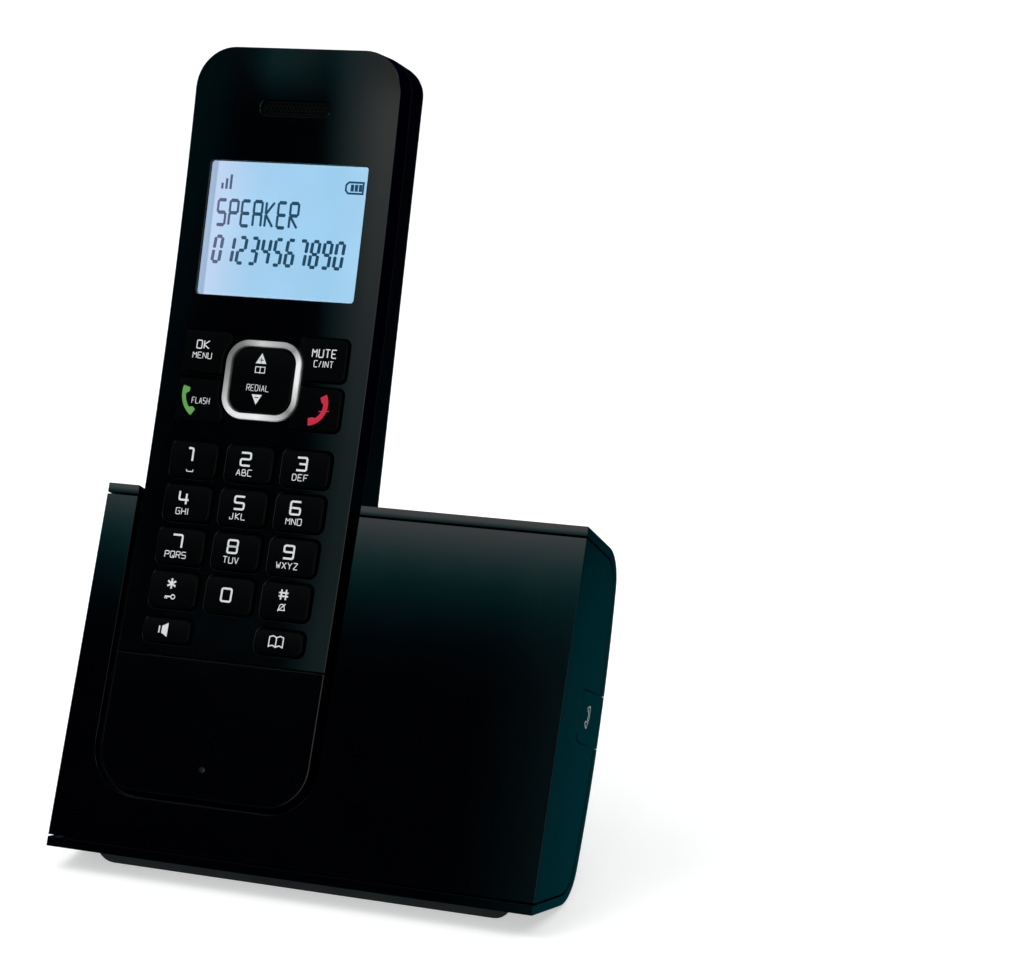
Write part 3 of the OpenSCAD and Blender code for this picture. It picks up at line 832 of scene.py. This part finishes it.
def dial_legend(node, top):
    """Signs of a dial key, which sit a little left of its middle."""
    piece = Piece()
    words = DIAL_WORDS.get(node)
    if node == "key_0":
        write(piece, words, (0, 0), DIGIT_H, BOLD, top, wide=1.24)
    elif words:
        write(piece, words[0], (DIGIT_X, DIGIT_Z), DIGIT_H, BOLD, top, wide=1.24)
        write(piece, words[1:], (DIGIT_X, LETTER_Z), LETTER_H, FINE, top)
    if node == "key_1":
        write(piece, "_", (0, LETTER_Z - 0.1), 1.5, FINE, top, wide=1.7)
    if node == "key_star":
        for turn in (30, 90, 150):
            a = radians(turn)
            u, w = 1.1 * cos(a), 1.1 * sin(a)
            stroke(piece, [(-u, 1.2 - w), (u, 1.2 + w)], 0.4, top)
        stroke(piece, circle(0.75, -1.6, 0.45), 0.22, top, closed=True)
        stroke(piece, [(0.3, -1.6), (-1.15, -1.6)], 0.3, top)
        for u in (-1.05, -0.65):
            stroke(piece, [(u, -1.65), (u, -2.1)], 0.22, top)
    if node == "key_hash":
        write(piece, "#", (0, 1.35), 2.5, 0.34, top, wide=1.5)
        bell = arc(0, -1.25, 0.55, 0, 180, 8) + [(-0.75, -1.95), (0.75, -1.95)]
        stroke(piece, bell, 0.2, top, closed=True)
        stroke(piece, [(-0.85, -2.2), (0.8, -0.6)], 0.2, top)
    if node == "speaker_key":
        shape(piece, [[(-0.55, -0.75), (0.85, -1.5), (0.85, 1.5), (-0.55, 0.75)]], top)
        stroke(piece, [(-1.15, -0.75), (-1.15, 0.75)], 0.3, top)
    if node == "phonebook_key":
        for side in (-1, 1):
            page = [(0, -1.1), (0, 0.9), (side * 0.8, 1.25), (side * 1.6, 1.0), (side * 1.6, -1.05),
                    (side * 0.8, -0.75)]
            stroke(piece, page, 0.24, top, closed=True)
    return piece


def triangle(side, size, w):
    rise = side * size * 0.9
    return [(-size, w - rise), (size, w - rise), (0, w + rise)][::side]


def cross(u, w, reach, half):
    points = [(reach, -half), (reach, half), (half, half)]
    for _ in range(3):
        points += [(-z, x) for x, z in points[-3:]]
    return at(points, u, w)


def rocker_legend(top):
    piece = Piece()
    shape(piece, [triangle(1, 1.25, 4.6), cross(0, 4.25, 0.55, 0.09)], top)
    shape(piece, [triangle(-1, 1.2, -4.3), rect(-0.5, -3.95, 1.0, 0.2)], top)
    for side in (-1, 1):
        stroke(piece, [(0, 1.5), (side * 1.1, 1.5), (side * 1.1, 2.75), (0, 2.75)], 0.17, top)
    stroke(piece, [(0, 1.3), (0, 2.75)], 0.17, top)
    write(piece, "REDIAL", (0, -1.8), 1.45, 0.12, top, gap=0.12, wide=0.8)
    return piece


# Words on the soft keys: the word, its middle, height, stroke, gap and width
SOFT_WORDS = {
    "ok_key": [("OK", (-14.6, 6.75), 1.95, 0.23, 0.15, 1.05),
               ("MENU", (-14.5, 4.4), 1.45, 0.16, 0.12, 1.0)],
    "mute_key": [("MUTE", (14.0, 6.65), 1.95, 0.23, 0.12, 0.9),
                 ("C/INT", (14.1, 4.35), 1.5, 0.16, 0.12, 0.85)],
    "talk_key": [("FLASH", (-13.4, -5.4), 1.4, 0.12, 0.12, 0.7)]}


# ---------- display ----------

SEGMENTS = {  # seven bars of a digit: a at the top, then round to f, and g in the middle
    "0": "abcdef", "1": "bc", "2": "abged", "3": "abgcd", "4": "fgbc", "5": "afgcd", "6": "afgcde",
    "7": "abc", "8": "abcdefg", "9": "abfgcd"}
LETTER_BARS = {"S": "afgcd", "P": "efabg", "E": "afedg", "A": "efabcg", "K": "efxy", "R": "efabgy"}
# Ends of each bar: left or right, then 0, 1 or 2 for low, middle or high
BARS = {"a": "l2r2", "g": "l1r1", "d": "l0r0", "f": "l2l1", "e": "l1l0", "b": "r2r1", "c": "r1r0",
        "x": "l1r2", "y": "l1r0"}
LCD_DIGITS = "01234567890"
LCD_WORD = "SPEAKER"


def bar(piece, a, b, half, top, blunt=0.5):
    """A display segment between two places, with pointed ends."""
    a, b = Vector(a), Vector(b)
    t = (b - a).normalized()
    n = Vector((-t.y, t.x)) * half
    tip = t * half * blunt
    shape(piece, [[tuple(p) for p in (a, a + tip - n, b - tip - n, b, b - tip + n, a + tip + n)]], top)


def segment_sign(piece, bars, x, z, w, h, half_v, half_h, gap, top, slant=0.0):
    """A sign of bars in a cell whose lower left corner is at x, z, leaning right by slant."""
    left, right, low, mid, high = x + half_v, x + w - half_v, z + half_h, z + h / 2, z + h - half_h
    sides = {"l": left, "r": right, "0": low, "1": mid, "2": high}
    for name in bars:
        u1, v1, u2, v2 = [sides[mark] for mark in BARS[name]]
        a, b = [Vector((u + slant * (v - mid), v)) for u, v in ((u1, v1), (u2, v2))]
        inset = (b - a).normalized() * gap
        bar(piece, a + inset, b - inset, half_h if name in "agd" else half_v, top)


def display_ink(top):
    piece = Piece()
    pitch = 2.88
    for k, digit in enumerate(LCD_DIGITS):
        segment_sign(piece, SEGMENTS[digit], -16.0 + pitch * k, -7.35, 2.4, 6.3, 0.37, 0.37, 0.16, top, 0.08)
    for k, letter in enumerate(LCD_WORD):
        segment_sign(piece, LETTER_BARS[letter], -16.1 + pitch * k, 0.75, 2.45, 6.2, 0.27, 0.38, 0.02, top)
    for k in range(3):
        shape(piece, [rect(-15.7 + k, 9.0, 0.55, (1.3, 2.3, 3.2)[k])], top)
    case = [(14.4, 9.3), (17.8, 9.3), (17.8, 11.7), (14.4, 11.7), (13.8, 11.1), (13.8, 9.9)]
    stroke(piece, case, 0.42, top, closed=True)
    for k in range(3):
        shape(piece, [rect(14.9 + 0.95 * k, 9.75, 0.75, 1.5)], top)
    return piece


# ---------- materials ----------


class Shader:
    """Short calls for the nodes of a material or of the world."""

    def __init__(self, tree):
        self.nodes, self.links = tree.nodes, tree.links

    def put(self, socket, value):
        """Sets an input, or links it where the value is another node's output."""
        if isinstance(value, bpy.types.NodeSocket):
            self.links.new(value, socket)
        else:
            socket.default_value = value

    def node(self, kind, output, inputs, **settings):
        """Adds a node with its settings and inputs, and returns one of its outputs."""
        node = self.nodes.new("ShaderNode" + kind)
        for name, value in settings.items():
            setattr(node, name, value)
        for name, value in inputs.items():
            self.put(node.inputs[name], value)
        return node.outputs[output]

    def between(self, factor, low, high, start=0.0, stop=1.0):
        """A number that goes from low to high as factor goes from start to stop."""
        limits = {"From Min": start, "From Max": stop, "To Min": low, "To Max": high}
        return self.node("MapRange", "Result", {"Value": factor, **limits})

    def colours(self, factor, *stops):
        """A colour ramp with (place, colour) stops."""
        result = self.node("ValToRGB", "Color", {"Fac": factor})
        elements = result.node.color_ramp.elements
        while len(elements) < len(stops):
            elements.new(0.5)
        for element, (place, colour) in zip(elements, stops):
            element.position = place
            element.color = (*colour, 1)
        return result


class Finish(Shader):
    """A material whose detail comes from procedural noise in object space."""

    def __init__(self, name, **values):
        self.material = bpy.data.materials.new(name)
        self.material.use_nodes = True
        super().__init__(self.material.node_tree)
        self.place = self.nodes.new("ShaderNodeTexCoord").outputs["Object"]
        self.set(**values)

    def set(self, **values):
        """Sets or links inputs of the main shader, whose names have _ for a space here."""
        for name, value in values.items():
            self.put(self.nodes["Principled BSDF"].inputs[name.replace("_", " ")], value)

    def turned(self, **inputs):
        """The place after a mapping, for example with a Scale or a Rotation."""
        return self.node("Mapping", "Vector", {"Vector": self.place, **inputs})

    def noise(self, size, detail=3.0, place=None):
        """Noise whose features are about size millimetres across."""
        inputs = {"Vector": place or self.place, "Scale": 1 / (size * MM), "Detail": detail}
        return self.node("TexNoise", "Fac", inputs)

    def mottled(self, factor, colour, spread):
        """A colour that is a little darker or paler, by a share of itself, as factor goes."""
        low = [c * (1 - spread) for c in colour]
        high = [min(1.0, c * (1 + spread)) for c in colour]
        return self.colours(factor, (0.3, low), (0.7, high))

    def bump(self, height, distance):
        """Raises the surface by up to distance millimetres where height is 1."""
        inputs = {"Height": height, "Strength": 1.0, "Distance": distance * MM}
        self.set(Normal=self.node("Bump", "Normal", inputs))


def moulded(name, colour, rough, grain, depth, spread=0.25, level=0.5):
    """Moulded plastic: faintly uneven colour and gloss, and the grain of its mould."""
    finish = Finish(name, Specular_IOR_Level=level)
    finish.set(Base_Color=finish.mottled(finish.noise(14, 4), colour, spread),
               Roughness=finish.between(finish.noise(9, 5), rough * 0.85, rough * 1.15, 0.3, 0.7))
    finish.bump(finish.noise(grain, 2), depth)
    return finish.material


def metal(name, colour, rough, grain):
    """Metal with fine lines along the direction in which the grain's scale is smallest."""
    finish = Finish(name, Metallic=1.0)
    lines = finish.noise(0.25, 3, finish.turned(Scale=grain))
    finish.set(Base_Color=finish.mottled(lines, colour, 0.08),
               Roughness=finish.between(lines, rough * 0.8, rough * 1.25, 0.3, 0.7))
    finish.bump(lines, 0.002)
    return finish.material


def printed(name, colour, glow=0.0):
    """Printed legend with a slightly mottled, satin ink; any glow is painted light, as the ink gives none."""
    finish = Finish(name, Emission_Color=(*colour, 1), Emission_Strength=glow)
    finish.set(Base_Color=finish.mottled(finish.noise(0.4, 3), colour, 0.06),
               Roughness=finish.between(finish.noise(0.3, 2), 0.42, 0.55))
    finish.bump(finish.noise(0.12, 2), 0.003)
    return finish.material


def lit(name, base, glow, grain, rough, *stops):
    """A layer of the lit display, whose colour changes from its left edge to its right edge."""
    finish = Finish(name, Base_Color=(*base, 1), Specular_IOR_Level=0.2)
    low, high = box_in(LEVEL, "display_window")
    across = finish.node("SeparateXYZ", "X", {"Vector": finish.place})
    share = finish.between(across, 0, 1, low.x * MM, high.x * MM)
    finish.set(Emission_Color=finish.colours(share, *stops),
               Emission_Strength=finish.between(finish.noise(16, 2), *glow, 0.3, 0.7),
               Roughness=finish.between(finish.noise(*grain), *rough))
    return finish.material


def ring_finish():
    """Satin metal with painted highlights and shade: its colour runs from dark to bright round the ring, as light
    falls on it.
    """
    finish = Finish("chrome_ring", Metallic=0.1)
    inputs = {"Vector": finish.place, "Location": nav_place.translation,
              "Rotation": (nav_place @ turned_x(90)).to_euler()}
    flat = finish.node("Mapping", "Vector", inputs, vector_type="TEXTURE")
    turn = finish.node("TexGradient", "Fac", {"Vector": flat}, gradient_type="RADIAL")
    # Painted light: pale greys where highlights fall on the band, dark greys where it lies in shade.
    painted_greys = [(0.0, 0.34), (0.06, 0.5), (0.13, 0.9), (0.25, 1.0), (0.34, 0.6), (0.385, 0.22), (0.44, 0.7),
             (0.5, 1.0), (0.57, 1.0), (0.625, 0.28), (0.7, 0.5), (0.77, 0.66), (0.85, 0.22), (0.9, 0.17),
             (1.0, 0.34)]
    finish.set(Base_Color=finish.colours(turn, *[(place, [grey] * 3) for place, grey in painted_greys]),
               Roughness=finish.between(finish.noise(1.5, 3), 0.36, 0.44))
    return finish.material


def board_finish():
    """Solder mask with paler tracks."""
    finish = Finish("board_green", Coat_Weight=0.3, Coat_Roughness=0.12)
    inputs = {"Vector": finish.place, "Scale": 1 / (3.2 * MM), "Mortar Size": 0.05,
              "Color1": (0.012, 0.11, 0.045, 1), "Color2": (0.018, 0.15, 0.06, 1),
              "Mortar": (0.04, 0.25, 0.10, 1)}
    tracks = finish.node("TexBrick", "Color", inputs)
    finish.set(Base_Color=tracks, Roughness=finish.between(finish.noise(1.2, 4), 0.3, 0.5))
    finish.bump(tracks.node.outputs["Fac"], 0.02)
    return finish.material


def cell_finish():
    """Plastic sleeve of a cell, with a paler band towards one end."""
    finish = Finish("cell_label")
    along = finish.node("SeparateXYZ", "Z", {"Vector": finish.turned(Rotation=(LEAN, 0, 0))})
    low, high = box_in(LEANING, "battery_cells")
    share = finish.between(along, 0, 1, low.z * MM, high.z * MM)
    green, pale = (0.03, 0.19, 0.10), (0.62, 0.66, 0.60)
    bands = finish.colours(share, (0.0, pale), (0.03, green), (0.7, green), (0.71, pale), (0.76, green))
    finish.set(Base_Color=bands, Roughness=finish.between(finish.noise(3, 4), 0.22, 0.34))
    finish.bump(finish.noise(1.5, 2), 0.01)
    return finish.material


def glass_finish():
    """Clear acrylic with a barely uneven polish."""
    finish = Finish("window_clear", Base_Color=(0.93, 0.97, 1.0, 1), Transmission_Weight=1.0, IOR=1.49)
    finish.set(Roughness=finish.between(finish.noise(12, 3), 0.004, 0.012))
    return finish.material


# Colour, roughness, and the grain's size and depth, some with the colour's spread and the gloss level
MOULDED = {
    "gloss_black": ((0.0004, 0.0005, 0.0006), 0.07, 5.0, 0.0004),
    "panel_black": ((0.0004, 0.0005, 0.0007), 0.05, 6.0, 0.0003),
    "satin_black": ((0.0012, 0.0012, 0.0014), 0.32, 0.25, 0.005, 0.12, 0.18),
    "key_black": ((0.0006, 0.0007, 0.0009), 0.2, 0.3, 0.002, 0.25, 0.06),
    "soft_rubber": ((0.018, 0.018, 0.019), 0.62, 0.4, 0.012),
    "socket_black": ((0.017, 0.017, 0.018), 0.5, 0.35, 0.006),
    "silicone_mat": ((0.12, 0.125, 0.13), 0.55, 0.5, 0.01)}
LCD = lit("lcd_blue", (0.02, 0.03, 0.035), (1.03, 1.11), (5, 3), (0.3, 0.4),
          (0.022, (0.34, 0.46, 0.62)), (0.03, (0.56, 0.68, 0.88)), (0.3, (0.40, 0.65, 0.87)),
          (0.8, (0.36, 0.63, 0.85)), (1.0, (0.40, 0.66, 0.88)))
FINISHES = {
    **{name: moulded(name, *values) for name, values in MOULDED.items()},
    "chrome_ring": ring_finish(), "window_clear": glass_finish(), "lcd_blue": LCD,
    "board_green": board_finish(), "cell_label": cell_finish(),
    "steel": metal("steel", (0.58, 0.59, 0.61), 0.3, (1, 0.1, 1)),
    "gold_contact": metal("gold_contact", (0.83, 0.60, 0.25), 0.22, (1, 1, 0.2))}
GRILLE = moulded("grille_black", (0.0006, 0.0006, 0.0007), 0.3, 0.35, 0.002, level=0.1)
INK = lit("lcd_ink", (0.01, 0.012, 0.016), (1.0, 1.0), (2, 2), (0.45, 0.6), (0.0, (0.16, 0.16, 0.26)),
          (0.14, (0.08, 0.11, 0.20)), (0.26, (0.006, 0.065, 0.12)), (1.0, (0.004, 0.05, 0.11)))
WHITE = printed("legend_white", (0.74, 0.75, 0.76))
# The green and red icons glow a little as painted light, to make them brighter; printed ink is no lamp.
GREEN = printed("icon_green", (0.10, 0.34, 0.07), 0.1)
RED = printed("icon_red", (0.52, 0.006, 0.036), 0.15)


# ---------- making the pieces ----------


def make_base():
    refined("base_front_housing", "base_panel", 0.25)
    refined("base_rear_cover", "rear_cover", 0.12)
    refined("cradle_cup", "cradle_pocket", 0.3)
    refined("front_foot", "foot_strip", 0.5)
    refined("rear_stand", "stand", 0.8, segments=3)
    refined("rear_feet", "foot_pads", 0.2)
    refined("page_button", "page_key", 0.12, taller=0.3)
    refined("power_jack", "jack_housing", 0.15)
    refined("line_socket", "socket_housing", 0.15)
    refined("base_screws", "cover_screws", 0.08)
    refined("cradle_contacts", "charging_springs", 0.06)


def page_legend():
    """Receiver icon on the page button, on the base's right side."""
    low, high = box_in(SLAB, "page_button")
    side = SLAB @ moved(high.x, 0, 0) @ Matrix.Rotation(radians(90), 4, "Z")
    piece = Piece()
    bow = at(receiver(4.9, 0.7, 1.5, 168, 0.95), (low.y + high.y) / 2 - 0.4, (low.z + high.z) / 2)
    stroke(piece, bow, 0.13, level_top(0), closed=True)
    piece.make("page_icon", side, finish=WHITE, body="page_button")


def make_dial_keys():
    for node in DIAL_KEYS:
        place, outline, size = key_shape(node)
        top = domed(KEY_PROUD, 0.1, size.x / 2, size.z / 2)
        make_cap(node + "_cap", node, place, outline, top)
        dial_legend(node, top).make(node + "_legend", place @ moved(LEGEND_X), finish=WHITE, body=node)


def make_soft_keys():
    for node, (side, level) in SOFT_KEYS.items():
        top = domed(KEY_PROUD, 0.08, 6.5, 5.4, side * SOFT_X, level * SOFT_Z)
        make_cap(node + "_cap", node, nav_place, soft_outline(side, level), top, edge=0.4, rim=0.3)
        words, icon = Piece(), Piece()
        for word, centre, height, width, gap, wide in SOFT_WORDS.get(node, ()):
            write(words, word, centre, height, width, top, gap, wide)
        if words.faces:
            words.make(node + "_legend", nav_place, finish=WHITE, body=node)
        if node == "talk_key":
            shape(icon, [at(receiver(6.9, 0.9, 1.7, 21, 0.85), -17.65, -5.9)], top)
            icon.make("talk_icon", nav_place, finish=GREEN, body=node)
        if node == "hang_up_key":
            shape(icon, [at(receiver(7.7, 1.1, 1.6, 153, 0.6), 15.9, -6.4)], top)
            stroke(icon, [(14.4, -5.75), (16.8, -5.55)], 0.2, top)
            icon.make("hang_up_icon", nav_place, finish=RED, body=node)


def make_ring():
    """The satin chrome ring, with a gently crowned top."""
    deep = box_in(nav_place, "navigation_ring")[1].y + RING_PROUD
    crown, edge = 0.08, 0.28
    outer = [(-edge * (1 - c), edge * (1 - s) + crown, c, s) for s, c in turns(4)]
    inner = [(-RING_BAND - g, depth, -c, s) for g, depth, c, s in outer[::-1]]
    section = ([(0, deep, 1, 0)] + outer + [(-RING_BAND / 2, 0, 0, 1)] + inner + [(-RING_BAND, deep, -1, 0)])
    piece = Piece()
    rings = walls(piece, rounded_rect(RING_W, RING_H, RING_R, 14), section, level_top(-RING_PROUD))
    piece.strip(rings[-1], rings[0])
    piece.make("chrome_ring", nav_place, "navigation_ring")


def make_rocker():
    proud = RING_PROUD - 0.2
    place = front_frame("navigation_key", proud)[0]
    cut = 2 * (RING_BAND + 0.3)
    outline = rounded_rect(RING_W - cut, RING_H - cut, RING_R - cut / 2, 10)
    top = domed(proud, 0.25, 8, 8)
    make_cap("rocker", "navigation_key", place, outline, top, lip=0.6, edge=0.45, rim=1.0)
    signs = rocker_legend(top)
    signs.make("rocker_legend", place @ moved(-0.6, 0, 0.1), finish=WHITE, body="navigation_key")


def make_display():
    glass = plate(rounded_rect(window_size.x, window_size.z, 0.7), 0.35, 1.85)
    glass.make("window", window_place, "display_window")
    depth = FRONT_WALL + 0.05
    place, size = front_frame("lcd_module", -depth)
    panel = plate(rounded_rect(size.x, size.z, 0.4), depth, depth + size.y, edge=0.1)
    panel.make("lcd_panel", place, "lcd_module")
    ink = display_ink(level_top(depth))
    ink.make("lcd_segments", place @ moved(-0.6, 0, -0.3), finish=INK, body="handset")


def make_earpiece():
    """Perforated plate in the earpiece slot."""
    rows, columns, pitch, row_pitch, r = 3, 16, 0.92, 0.85, 0.28
    holes = []
    for row in range(rows):
        for column in range(columns - row % 2):
            u = (column - (columns - 1 - row % 2) / 2) * pitch
            holes.append(circle(u, (row - (rows - 1) / 2) * row_pitch, r, 8))
    grille = plate(rounded_rect(ear_size.x, ear_size.z, ear_size.z / 2 - 0.01), 0.7, 1.5, holes, edge=0.1)
    grille.make("ear_grille", ear_place, "earpiece_grille", GRILLE)


def finish_inside():
    """Every CAD node that is still shown gets its own procedural material."""
    for node, obj in NODES.items():
        if not obj.hide_render:
            obj.data.materials.clear()
            obj.data.materials.append(FINISHES[slot_of(node)])


# ---------- studio ----------


def direction(azimuth, elevation):
    """Unit vector towards the front at azimuth 0, in degrees, turning to the right and up."""
    a, e = radians(azimuth), radians(elevation)
    return Vector((sin(a) * cos(e), -cos(a) * cos(e), sin(e)))


def make_camera():
    """A long lens from the right and a little above, placed from the foot of the base's panel."""
    sensor, width, focal = 36.0, 1024, 2800
    to_right, to_top, to_back = 47.345, 81.63, 573.548
    back = direction(21.13, 13.06)
    right = Vector((-back.y, back.x, 0)).normalized()
    up = back.cross(right)
    place = SLAB @ Vector((0, 0, 0)) + (right * to_right + up * to_top + back * to_back) * MM
    data = bpy.data.cameras.new("camera")
    data.sensor_width = sensor
    data.lens = sensor * focal / width
    data.clip_start, data.clip_end = 0.01, 50
    camera = bpy.data.objects.new("camera", data)
    camera.matrix_world = Matrix.Translation(place) @ Matrix((right, up, back)).transposed().to_4x4()
    link(camera)
    bpy.context.scene.camera = camera


def softbox(name, azimuth, elevation, distance, size, power):
    """A square light aimed at the phone, which isn't mirrored in it."""
    data = bpy.data.lights.new(name, "AREA")
    data.size = size
    data.energy = power
    lamp = bpy.data.objects.new(name, data)
    way = direction(azimuth, elevation)
    lamp.location = Vector((0, 0, 0.08)) + way * distance
    lamp.rotation_mode = "QUATERNION"
    lamp.rotation_quaternion = way.to_track_quat("Z", "Y")
    lamp.visible_glossy = False
    link(lamp)


def make_floor():
    """A pale floor that curves up into a backdrop far behind."""
    mesh = bpy.data.meshes.new("floor")
    half, near, far, r, high = 6.0, -4.0, 4.0, 1.5, 4.0
    profile = [(near, 0.0)] + arc(far - r, r, r, -90, 0, 9) + [(far, high)]
    points = [(x, y, z) for y, z in profile for x in (-half, half)]
    mesh.from_pydata(points, [], [(2 * k, 2 * k + 1, 2 * k + 3, 2 * k + 2) for k in range(len(profile) - 1)])
    mesh.shade_smooth()
    finish = Finish("pale_floor", Emission_Color=(1, 1, 1, 1), Emission_Strength=0.5)
    pale = finish.colours(finish.noise(300, 3), (0.3, (0.86, 0.86, 0.855)), (0.7, (0.89, 0.89, 0.885)))
    finish.set(Base_Color=pale, Roughness=finish.between(finish.noise(40, 3), 0.6, 0.7))
    mesh.materials.append(finish.material)
    floor = bpy.data.objects.new("floor", mesh)
    link(floor)
    floor.visible_glossy = False


def make_world():
    """Studio surroundings by direction: a pale ceiling, dark walls and a dim blue-green tint low down."""
    world = bpy.data.worlds.new("studio")
    world.use_nodes = True
    bpy.context.scene.world = world
    sky = Shader(world.node_tree)
    seen = sky.nodes.new("ShaderNodeTexCoord").outputs["Generated"]
    x, y, z = sky.node("SeparateXYZ", "X", {"Vector": seen}).node.outputs

    def ramp(factor, *stops, middle=0.0):
        """Colours by a direction's share, which goes from -1 to 1 about the middle."""
        share = sky.between(factor, 0, 1, middle - 1, middle + 1)
        return sky.colours(share, *[((place + 1) / 2, colour) for place, colour in stops])

    def combined(operation, a, b):
        return sky.node("VectorMath", "Vector", {0: a, 1: b}, operation=operation)

    black, grey, white = (0, 0, 0), (0.1, 0.1, 0.1), (1, 1, 1)
    to_right = sky.node("Math", "Value", {0: x, 1: -0.5}, operation="MAXIMUM")
    height = sky.node("Math", "Value", {0: to_right, 1: -0.21, 2: z}, operation="MULTIPLY_ADD")
    ceiling = ramp(height, (0.467, (0, 0, 0.008)), (0.478, (0, 0.05, 0.08)), (0.486, (0, 0.16, 0.18)),
                   (0.491, (0.01, 0.27, 0.30)), (0.4965, (0.04, 0.47, 0.47)), (0.4985, (0.16, 0.56, 0.59)),
                   (0.502, (0.48, 0.80, 0.84)), (0.508, (1.2, 1.25, 1.25)), (0.56, (1.5, 1.5, 1.48)),
                   (0.60, (0.3, 0.32, 0.33)), (0.66, (0.05, 0.06, 0.065)), (1.0, (0.05, 0.05, 0.055)),
                   middle=0.0756)
    sideways = ramp(x, (-0.9, (0, 0.20, 0.23)), (-0.62, (0, 0.05, 0.06)), (-0.57, black), (-0.35, black),
                    (-0.322, (0.03, 0.12, 0.13)), (-0.27, (0.25, 0.40, 0.41)), (-0.18, (0.75, 0.82, 0.82)),
                    (-0.05, (1.25, 1.25, 1.2)), (0.2, (1.05, 1.05, 1.0)), (0.6, (0.7, 0.7, 0.66)),
                    (1.0, (0.5, 0.5, 0.48)))
    in_front = ramp(y, (-0.36, white), (-0.28, black))
    level = ramp(z, (-0.1, black), (0.1, white), (0.49, white), (0.52, black))
    front_side = combined("MULTIPLY", combined("MULTIPLY", sideways, level), in_front)
    below = ramp(z, (-0.31, (0, 0.10, 0.115)), (-0.26, (0, 0.08, 0.09)), (-0.22, black))
    tint = combined("MULTIPLY", below, ramp(x, (0.32, white), (0.36, grey)))
    total = combined("ADD", combined("ADD", ceiling, front_side), tint)
    sky.put(sky.nodes["Background"].inputs["Color"], total)


make_camera()
make_floor()
make_world()
softbox("key_light", -50, 58, 1.4, 0.8, 6)
softbox("floor_light", 0, 88, 3.0, 6.0, 60)

make_base()
page_legend()
front_housing()
back_cover()
end_cap()
make_dial_keys()
make_soft_keys()
make_ring()
make_rocker()
make_display()
make_earpiece()
finish_inside()

bpy.context.scene.view_settings.view_transform = "Standard"
bpy.context.view_layer.update()
